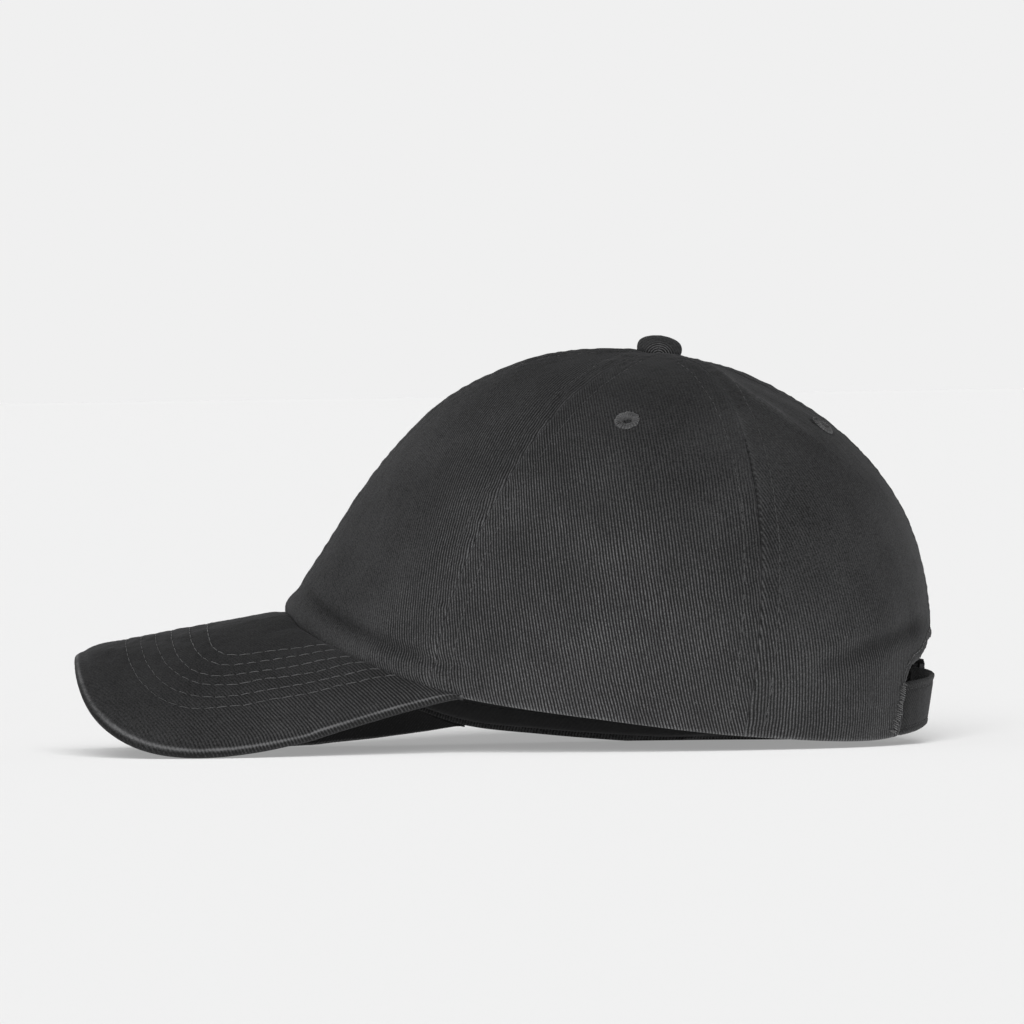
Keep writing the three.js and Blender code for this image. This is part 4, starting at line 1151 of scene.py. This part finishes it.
# ------------------------------------------------------------------- eyelets
def make_eyelet(name, u, v):
    """Ring of satin stitches round a small hole: thread bars laid side by side from the hole outwards."""
    threads, across = 46, 12
    around = threads * 6
    a = np.linspace(0, 2 * math.pi, around, endpoint=False)
    prof = [(1.7, -1.7), (1.6, -1.0), (1.65, -0.5), (1.85, 0.1), (2.25, 0.46), (2.8, 0.6), (3.3, 0.52), (3.75, 0.3), (4.0, 0.05),
            (3.9, -0.15), (2.5, -0.2), (2.3, -1.7)]
    pr, pz = np.array([p[0] for p in prof]), np.array([p[1] for p in prof])
    A, R = np.meshgrid(a, pr, indexing="ij")
    _, Z = np.meshgrid(a, pz, indexing="ij")
    r = np.random.default_rng(int(abs(u) * 10) + (3 if u < 0 else 0))
    wob = np.interp(a, np.linspace(0, 2 * math.pi, threads + 1), np.concatenate([(w := r.normal(size=threads)), w[:1]]))
    lump = 0.5 + 0.5 * np.cos(A * threads)
    top = smooth(0.0, 0.4, Z)
    R2 = R * (1 + 0.035 * wob[:, None] * (R > 3.4)) - 0.06 * (1 - lump) * (R < 2)
    Z2 = Z + top * (0.26 * (lump - 0.5) + 0.12 * wob[:, None]) * np.clip((4.4 - R) / 1.0, 0, 1)
    n = crown_normal(np.array([u]), np.array([v]))[0]
    c = crown(np.array([u]), np.array([v]))[0]
    q = Vector((0, 0, 1)).rotation_difference(Vector(n)).to_matrix()
    pts = np.stack([R2 * np.cos(A), R2 * np.sin(A), Z2 - 0.12], -1) @ np.array(q).T + c
    nn, m = pts.shape[:2]
    ids = np.arange(nn * m).reshape(nn, m)
    nxt = np.roll(ids, -1, 0)
    wrap = np.roll(ids, -1, 1)
    nwrap = np.roll(nxt, -1, 1)
    faces = np.stack([ids, nxt, nwrap, wrap], -1).reshape(-1, 4)
    uv = np.stack([A / (2 * math.pi) * threads, R * 0.4], -1).reshape(-1, 2)
    obj = add_mesh(name + "_threads", pts.reshape(-1, 3), faces, uv)
    bm_merge(obj)
    obj.data.materials.append(EYELET_THREAD)
    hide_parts(name)
    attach(obj, "root")


for key, (at, ev) in EYELETS.items():
    make_eyelet(f"eyelet_{key}_left", at, ev)
    make_eyelet(f"eyelet_{key}_right", -at, ev)


# ----------------------------------------------------------------- sweatband
def make_sweatband():
    columns, rows = 420, 34
    u = np.linspace(-BAND_END, BAND_END, columns + 1)
    share = np.linspace(0, 1, rows + 1)
    share = 0.5 - 0.5 * np.cos(math.pi * share) * (0.75 + 0.25 * np.abs(np.cos(math.pi * share)))
    v = 0.992 - share * (BAND_HEIGHT / 160)
    gu, gv = np.meshgrid(u, v)
    base = crown(gu, gv)
    n = crown_normal(gu, gv)
    height = share[:, None] * 26.5 * np.ones_like(gu)
    arc = np.concatenate([[0], np.cumsum(np.linalg.norm(np.diff(base[0], axis=0), axis=1))])[None, :] * np.ones_like(gu)
    wave = 0.25 * np.sin(arc / 11.0 + 1.3 * np.sin(arc / 37.0)) * smooth(0.3, 1, share)[:, None]
    wave += 0.1 * SMALL_NOISE(base)
    edge = np.minimum(height, 26.5 - height)
    roll = 0.5 * (1 - np.sqrt(np.clip(1 - (1 - np.clip(edge / 0.65, 0, 1)) ** 2, 0, 1)))
    ditch = 0.3 * np.exp(-((height - 4.2) / 0.7) ** 2) + 0.22 * np.exp(-((height - 22.6) / 0.6) ** 2)
    depth0 = CLOTH + 2 * GAP + roll
    depth1 = CLOTH + 2 * GAP + BAND_THICK + 0.25 - roll + wave - ditch
    outer = base - n * depth0[..., None]
    inner = base - n * depth1[..., None]
    outer[..., 2] = np.maximum(outer[..., 2], 0.25)
    inner[..., 2] = np.maximum(inner[..., 2], 0.25)
    uv = np.stack([(arc + height) * 0.62, (height - arc) * 0.62], -1)
    obj = shell("sweatband_cloth", outer, inner, uv, uv)
    obj.data.materials.append(BAND_CLOTH)
    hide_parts("sweatband")
    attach(obj, "root")
    thread = Stitches("band_stitching", DARK_THREAD_AND_GAP_SHADE, "thread", 0.18)
    for level in (4.2, 22.6):
        k = int(np.argmin(np.abs(height[:, 0] - level)))
        thread.row(inner[k], -n[k], 3.2, 2.4, wander=0.05, seed=int(level), lift=0.06)
    thread.build()


make_sweatband()


# -------------------------------------------------------------------- strap
def rim_at(s):
    """Point of the rim's oval at arc length s from the centre of the back, with its outward direction."""
    s = np.asarray(s, float)
    angle = np.zeros(s.shape)
    for _ in range(64):
        speed = np.hypot(OVAL["half_width"] * np.cos(angle), OVAL["half_length"] * np.sin(angle))
        angle = angle + s / 64 / speed
    x = OVAL["half_width"] * np.sin(angle)
    y = OVAL["y"] + OVAL["half_length"] * np.cos(angle)
    out = np.stack([x / OVAL["half_width"] ** 2, (y - OVAL["y"]) / OVAL["half_length"] ** 2], -1)
    return x, y, unit(out)


def strap_point(s, n, h):
    x, y, out = rim_at(s)
    low = np.interp(x, STRAP_EDGES["x"], STRAP_EDGES["low"])
    high = np.interp(x, STRAP_EDGES["x"], STRAP_EDGES["high"])
    z = (low + high) / 2 + h
    lean = 0.16 * (z - 11) * np.maximum(0, 1 - (s / 34) ** 2)
    away = n + lean - 0.45
    return np.stack([x + out[..., 0] * away, y + out[..., 1] * away, z], -1)


def make_strap(name, node_name, route, stitched):
    route = np.array(route, float)
    # round the route's corners, then space it evenly
    k = np.linspace(0, len(route) - 1, 40 * (len(route) - 1) + 1)
    pts = np.stack([np.interp(k, np.arange(len(route)), route[:, 0]), np.interp(k, np.arange(len(route)), route[:, 1])], -1)
    seg = np.hypot(*np.diff(pts, axis=0).T)
    s = np.concatenate([[0], np.cumsum(seg)])
    even = np.linspace(0, s[-1], int(s[-1] / 0.33) + 1)
    path = np.stack([np.interp(even, s, pts[:, 0]), np.interp(even, s, pts[:, 1])], -1)
    for _ in range(3):
        path[1:-1] = (path[:-2] + 2 * path[1:-1] + path[2:]) / 4
    d = unit(np.gradient(path, axis=0))
    side = np.stack([-d[:, 1], d[:, 0]], -1)
    x, _, _ = rim_at(path[:, 0])
    half = (np.interp(x, STRAP_EDGES["x"], STRAP_EDGES["high"]) - np.interp(x, STRAP_EDGES["x"], STRAP_EDGES["low"])) / 2
    # cross-section: a flat loop with round edges, raised folds beside two stitch lines
    loop = []
    across = 34
    hs = np.linspace(-1, 1, across)
    ring = []
    for sign, order in ((1, hs), (-1, hs[::-1])):
        for q in order:
            ring.append((q, sign))
    ring = np.array(ring)
    H = ring[None, :, 0] * half[:, None]
    edge = half[:, None] - np.abs(H)
    t = STRAP_THICK / 2
    thick = t * np.sqrt(np.clip(1 - (1 - np.clip(edge / 0.75, 0, 1)) ** 2, 0.02, 1))
    fold = 0.12 * np.exp(-((edge - 1.0) / 0.9) ** 2) - 0.28 * np.exp(-((edge - 2.3) / 0.45) ** 2)
    bulge = thick + fold * (edge > 0.4)
    off = ring[None, :, 1] * bulge
    S = path[:, 0][:, None] + side[:, 0][:, None] * off
    N = path[:, 1][:, None] + side[:, 1][:, None] * off
    pts3 = strap_point(S, N, H)
    pts3 = pts3 + 0.06 * np.stack([np.zeros(S.shape), SMALL_NOISE(pts3), 0.6 * FINE_NOISE(pts3)], -1)
    n, m = pts3.shape[:2]
    ids = np.arange(n * m).reshape(n, m)
    wrap = np.roll(ids, -1, 1)
    faces = np.stack([ids[:-1], wrap[:-1], wrap[1:], ids[1:]], -1).reshape(-1, 4).tolist()
    c0, c1 = pts3[0].mean(0), pts3[-1].mean(0)
    verts = np.concatenate([pts3.reshape(-1, 3), [c0, c1]])
    for q in range(m):
        faces.append((int(ids[0, (q + 1) % m]), int(ids[0, q]), n * m))
        faces.append((int(ids[-1, q]), int(ids[-1, (q + 1) % m]), n * m + 1))
    uv = np.stack([(even[:, None] + H) * 0.7, (even[:, None] - H) * 0.7], -1).reshape(-1, 2)
    uv = np.concatenate([uv, [[0, 0], [0, 0]]])
    wear_and_painted_light = 0.6 * np.exp(-(edge / 0.7) ** 2)
    obj = add_mesh(name, verts, faces, uv, extra={"wear_and_painted_light": np.concatenate([wear_and_painted_light.ravel(), [0, 0]])})
    bm_merge(obj)
    obj.data.materials.append(STRAP_CLOTH)
    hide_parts(node_name)
    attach(obj, "root")
    # stitches along both edges, on both faces
    for sign in (1, -1):
        for level in (1, -1):
            inset = half - 2.3
            h = level * inset
            o = sign * (t - 0.22)
            p = strap_point(path[:, 0] + side[:, 0] * o, path[:, 1] + side[:, 1] * o, h)
            q = strap_point(path[:, 0] + side[:, 0] * (o + sign), path[:, 1] + side[:, 1] * (o + sign), h)
            stitched.row(p, unit(q - p), 2.9, 2.2, wander=0.04, seed=int(90 + sign + 2 * level), lift=0.12)


strap_thread = Stitches("strap_stitching", STRAP_THREAD, "thread", 0.15)
make_strap("strap_left_cloth", "strap_left", STRAP_LEFT, strap_thread)
make_strap("strap_right_cloth", "strap_right", STRAP_RIGHT, strap_thread)
strap_thread.build()


# ------------------------------------------------------------------- buckle
def buckle_material():
    m = bpy.data.materials.new("worn_buckle_coat")
    m.use_nodes = True
    t = m.node_tree
    shader = t.nodes["Principled BSDF"]
    shader.inputs["Metallic"].default_value = 0.85
    place = t.nodes.new("ShaderNodeTexCoord")
    brushed = noise_node(t, place.outputs["Object"], 1400.0, 4.0, 0.6)
    patina = noise_node(t, place.outputs["Object"], 260.0, 3.0, 0.6)
    level = math_node(t, "ADD", math_node(t, "MULTIPLY", brushed, 0.5), math_node(t, "MULTIPLY", patina, 0.5))
    ramp = t.nodes.new("ShaderNodeValToRGB")
    ramp.color_ramp.elements[0].position = 0.3
    ramp.color_ramp.elements[0].color = (0.016, 0.016, 0.017, 1)
    ramp.color_ramp.elements[1].position = 0.7
    ramp.color_ramp.elements[1].color = (0.07, 0.07, 0.073, 1)
    t.links.new(level, ramp.inputs[0])
    t.links.new(ramp.outputs[0], shader.inputs["Base Color"])
    rough = t.nodes.new("ShaderNodeMapRange")
    rough.inputs["To Min"].default_value = 0.32
    rough.inputs["To Max"].default_value = 0.6
    t.links.new(patina, rough.inputs["Value"])
    t.links.new(rough.outputs[0], shader.inputs["Roughness"])
    b = t.nodes.new("ShaderNodeBump")
    b.inputs["Strength"].default_value = 0.25
    b.inputs["Distance"].default_value = 0.00005
    t.links.new(brushed, b.inputs["Height"])
    t.links.new(b.outputs[0], shader.inputs["Normal"])
    return m


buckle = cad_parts["buckle"]
buckle.data.materials.clear()
buckle.data.materials.append(buckle_material())
bevel = buckle.modifiers.new("soft_edges", "BEVEL")
bevel.width = 0.00035
bevel.segments = 3
bevel.limit_method = "ANGLE"
bevel.angle_limit = math.radians(35)


# --------------------------------------------------------------------- stage
def make_stage():
    mesh = bpy.data.meshes.new("floor")
    size = 60.0
    mesh.from_pydata([(-size, -size, -0.00005), (size, -size, -0.00005), (size, size, -0.00005), (-size, size, -0.00005)], [], [(0, 1, 2, 3)])
    floor = bpy.data.objects.new("floor", mesh)
    bpy.context.collection.objects.link(floor)
    m = bpy.data.materials.new("pale_floor")
    m.use_nodes = True
    s = m.node_tree.nodes["Principled BSDF"]
    s.inputs["Base Color"].default_value = (FLOOR_GREY, FLOOR_GREY, FLOOR_GREY, 1)
    s.inputs["Roughness"].default_value = 1.0
    s.inputs["Specular IOR Level"].default_value = 0.0
    s.inputs["Emission Color"].default_value = (1, 1, 1, 1)
    s.inputs["Emission Strength"].default_value = FLOOR_GLOW
    mesh.materials.append(m)
    # a light tent: bright round the horizon, dim overhead, less light from the back of the cap
    world = bpy.data.worlds.new("studio")
    bpy.context.scene.world = world
    world.use_nodes = True
    t = world.node_tree
    back = t.nodes["Background"]
    place = t.nodes.new("ShaderNodeTexCoord")
    split = t.nodes.new("ShaderNodeSeparateXYZ")
    t.links.new(place.outputs["Generated"], split.inputs[0])
    # the horizon itself is even all round
    lift = t.nodes.new("ShaderNodeMapRange")
    lift.interpolation_type = "SMOOTHSTEP"
    lift.inputs["From Min"].default_value = 0.02
    lift.inputs["From Max"].default_value = 0.1
    t.links.new(split.outputs[2], lift.inputs["Value"])
    depth = math_node(t, "MULTIPLY", split.outputs[1], lift.outputs[0])
    factors = []
    for axis, start, end, low, high in ((2, 0.05, 0.42, SKY, SKY_TOP), (1, 0.06, 0.9, 1.0, SKY_BACK), (1, -0.06, -0.9, 1.0, SKY_FRONT)):
        ramp = t.nodes.new("ShaderNodeMapRange")
        ramp.interpolation_type = "SMOOTHSTEP"
        ramp.inputs["From Min"].default_value = start
        ramp.inputs["From Max"].default_value = end
        ramp.inputs["To Min"].default_value = low
        ramp.inputs["To Max"].default_value = high
        t.links.new(depth if axis == 1 else split.outputs[2], ramp.inputs["Value"])
        factors.append(ramp.outputs[0])
    back.inputs["Color"].default_value = (1, 1, 1, 1)
    strength = math_node(t, "MULTIPLY", math_node(t, "MULTIPLY", factors[0], factors[1]), factors[2])
    t.links.new(strength, back.inputs["Strength"])
    only_floor = bpy.data.collections.new("lit_floor")
    bpy.context.scene.collection.children.link(only_floor)
    only_floor.objects.link(floor)
    for name, energy, angle, direction, floor_only in SUNS:
        data = bpy.data.lights.new(name, "SUN")
        data.energy = energy
        data.angle = math.radians(angle)
        light = bpy.data.objects.new(name, data)
        light.rotation_mode = "QUATERNION"
        light.rotation_quaternion = (-Vector(direction)).to_track_quat("-Z", "Y")
        bpy.context.collection.objects.link(light)
        if floor_only:
            light.light_linking.receiver_collection = only_floor


SKY, SKY_TOP, SKY_BACK, SKY_FRONT = 0.871, 0.12, 0.5, 1.7
FLOOR_GREY, FLOOR_GLOW = 0.5, 0.3
SUNS = (
    # name, strength, size of the soft source in degrees, direction that it shines from, lights only the floor
    ("front_fill", 1.75, 50, (1.0, -0.1, 0.12), False),
    ("floor_wash", 8.7, 24, (1.0, 0.0, 0.34), True),
)
make_stage()
bpy.context.scene.view_settings.view_transform = "Standard"
bpy.context.scene.view_settings.look = "None"


# -------------------------------------------------------------------- camera
def make_camera():
    data = bpy.data.cameras.new("photo_angle")
    data.sensor_width = 36.0
    data.lens = LENS
    data.clip_start, data.clip_end = 0.1, 200.0
    cam = bpy.data.objects.new("photo_angle", data)
    bpy.context.collection.objects.link(cam)
    aim = Vector(AIM) / 1000.0
    back = Vector((math.cos(ELEVATION), 0.0, math.sin(ELEVATION)))
    cam.location = aim + back * (DISTANCE / 1000.0)
    look = (-back).to_track_quat("-Z", "Y")
    cam.rotation_mode = "QUATERNION"
    cam.rotation_quaternion = look @ Vector((0, 0, 1)).rotation_difference(Vector((0, 0, 1)))
    cam.rotation_quaternion = look @ Matrix.Rotation(-ROLL, 3, "Z").to_quaternion()
    bpy.context.scene.camera = cam


make_camera()
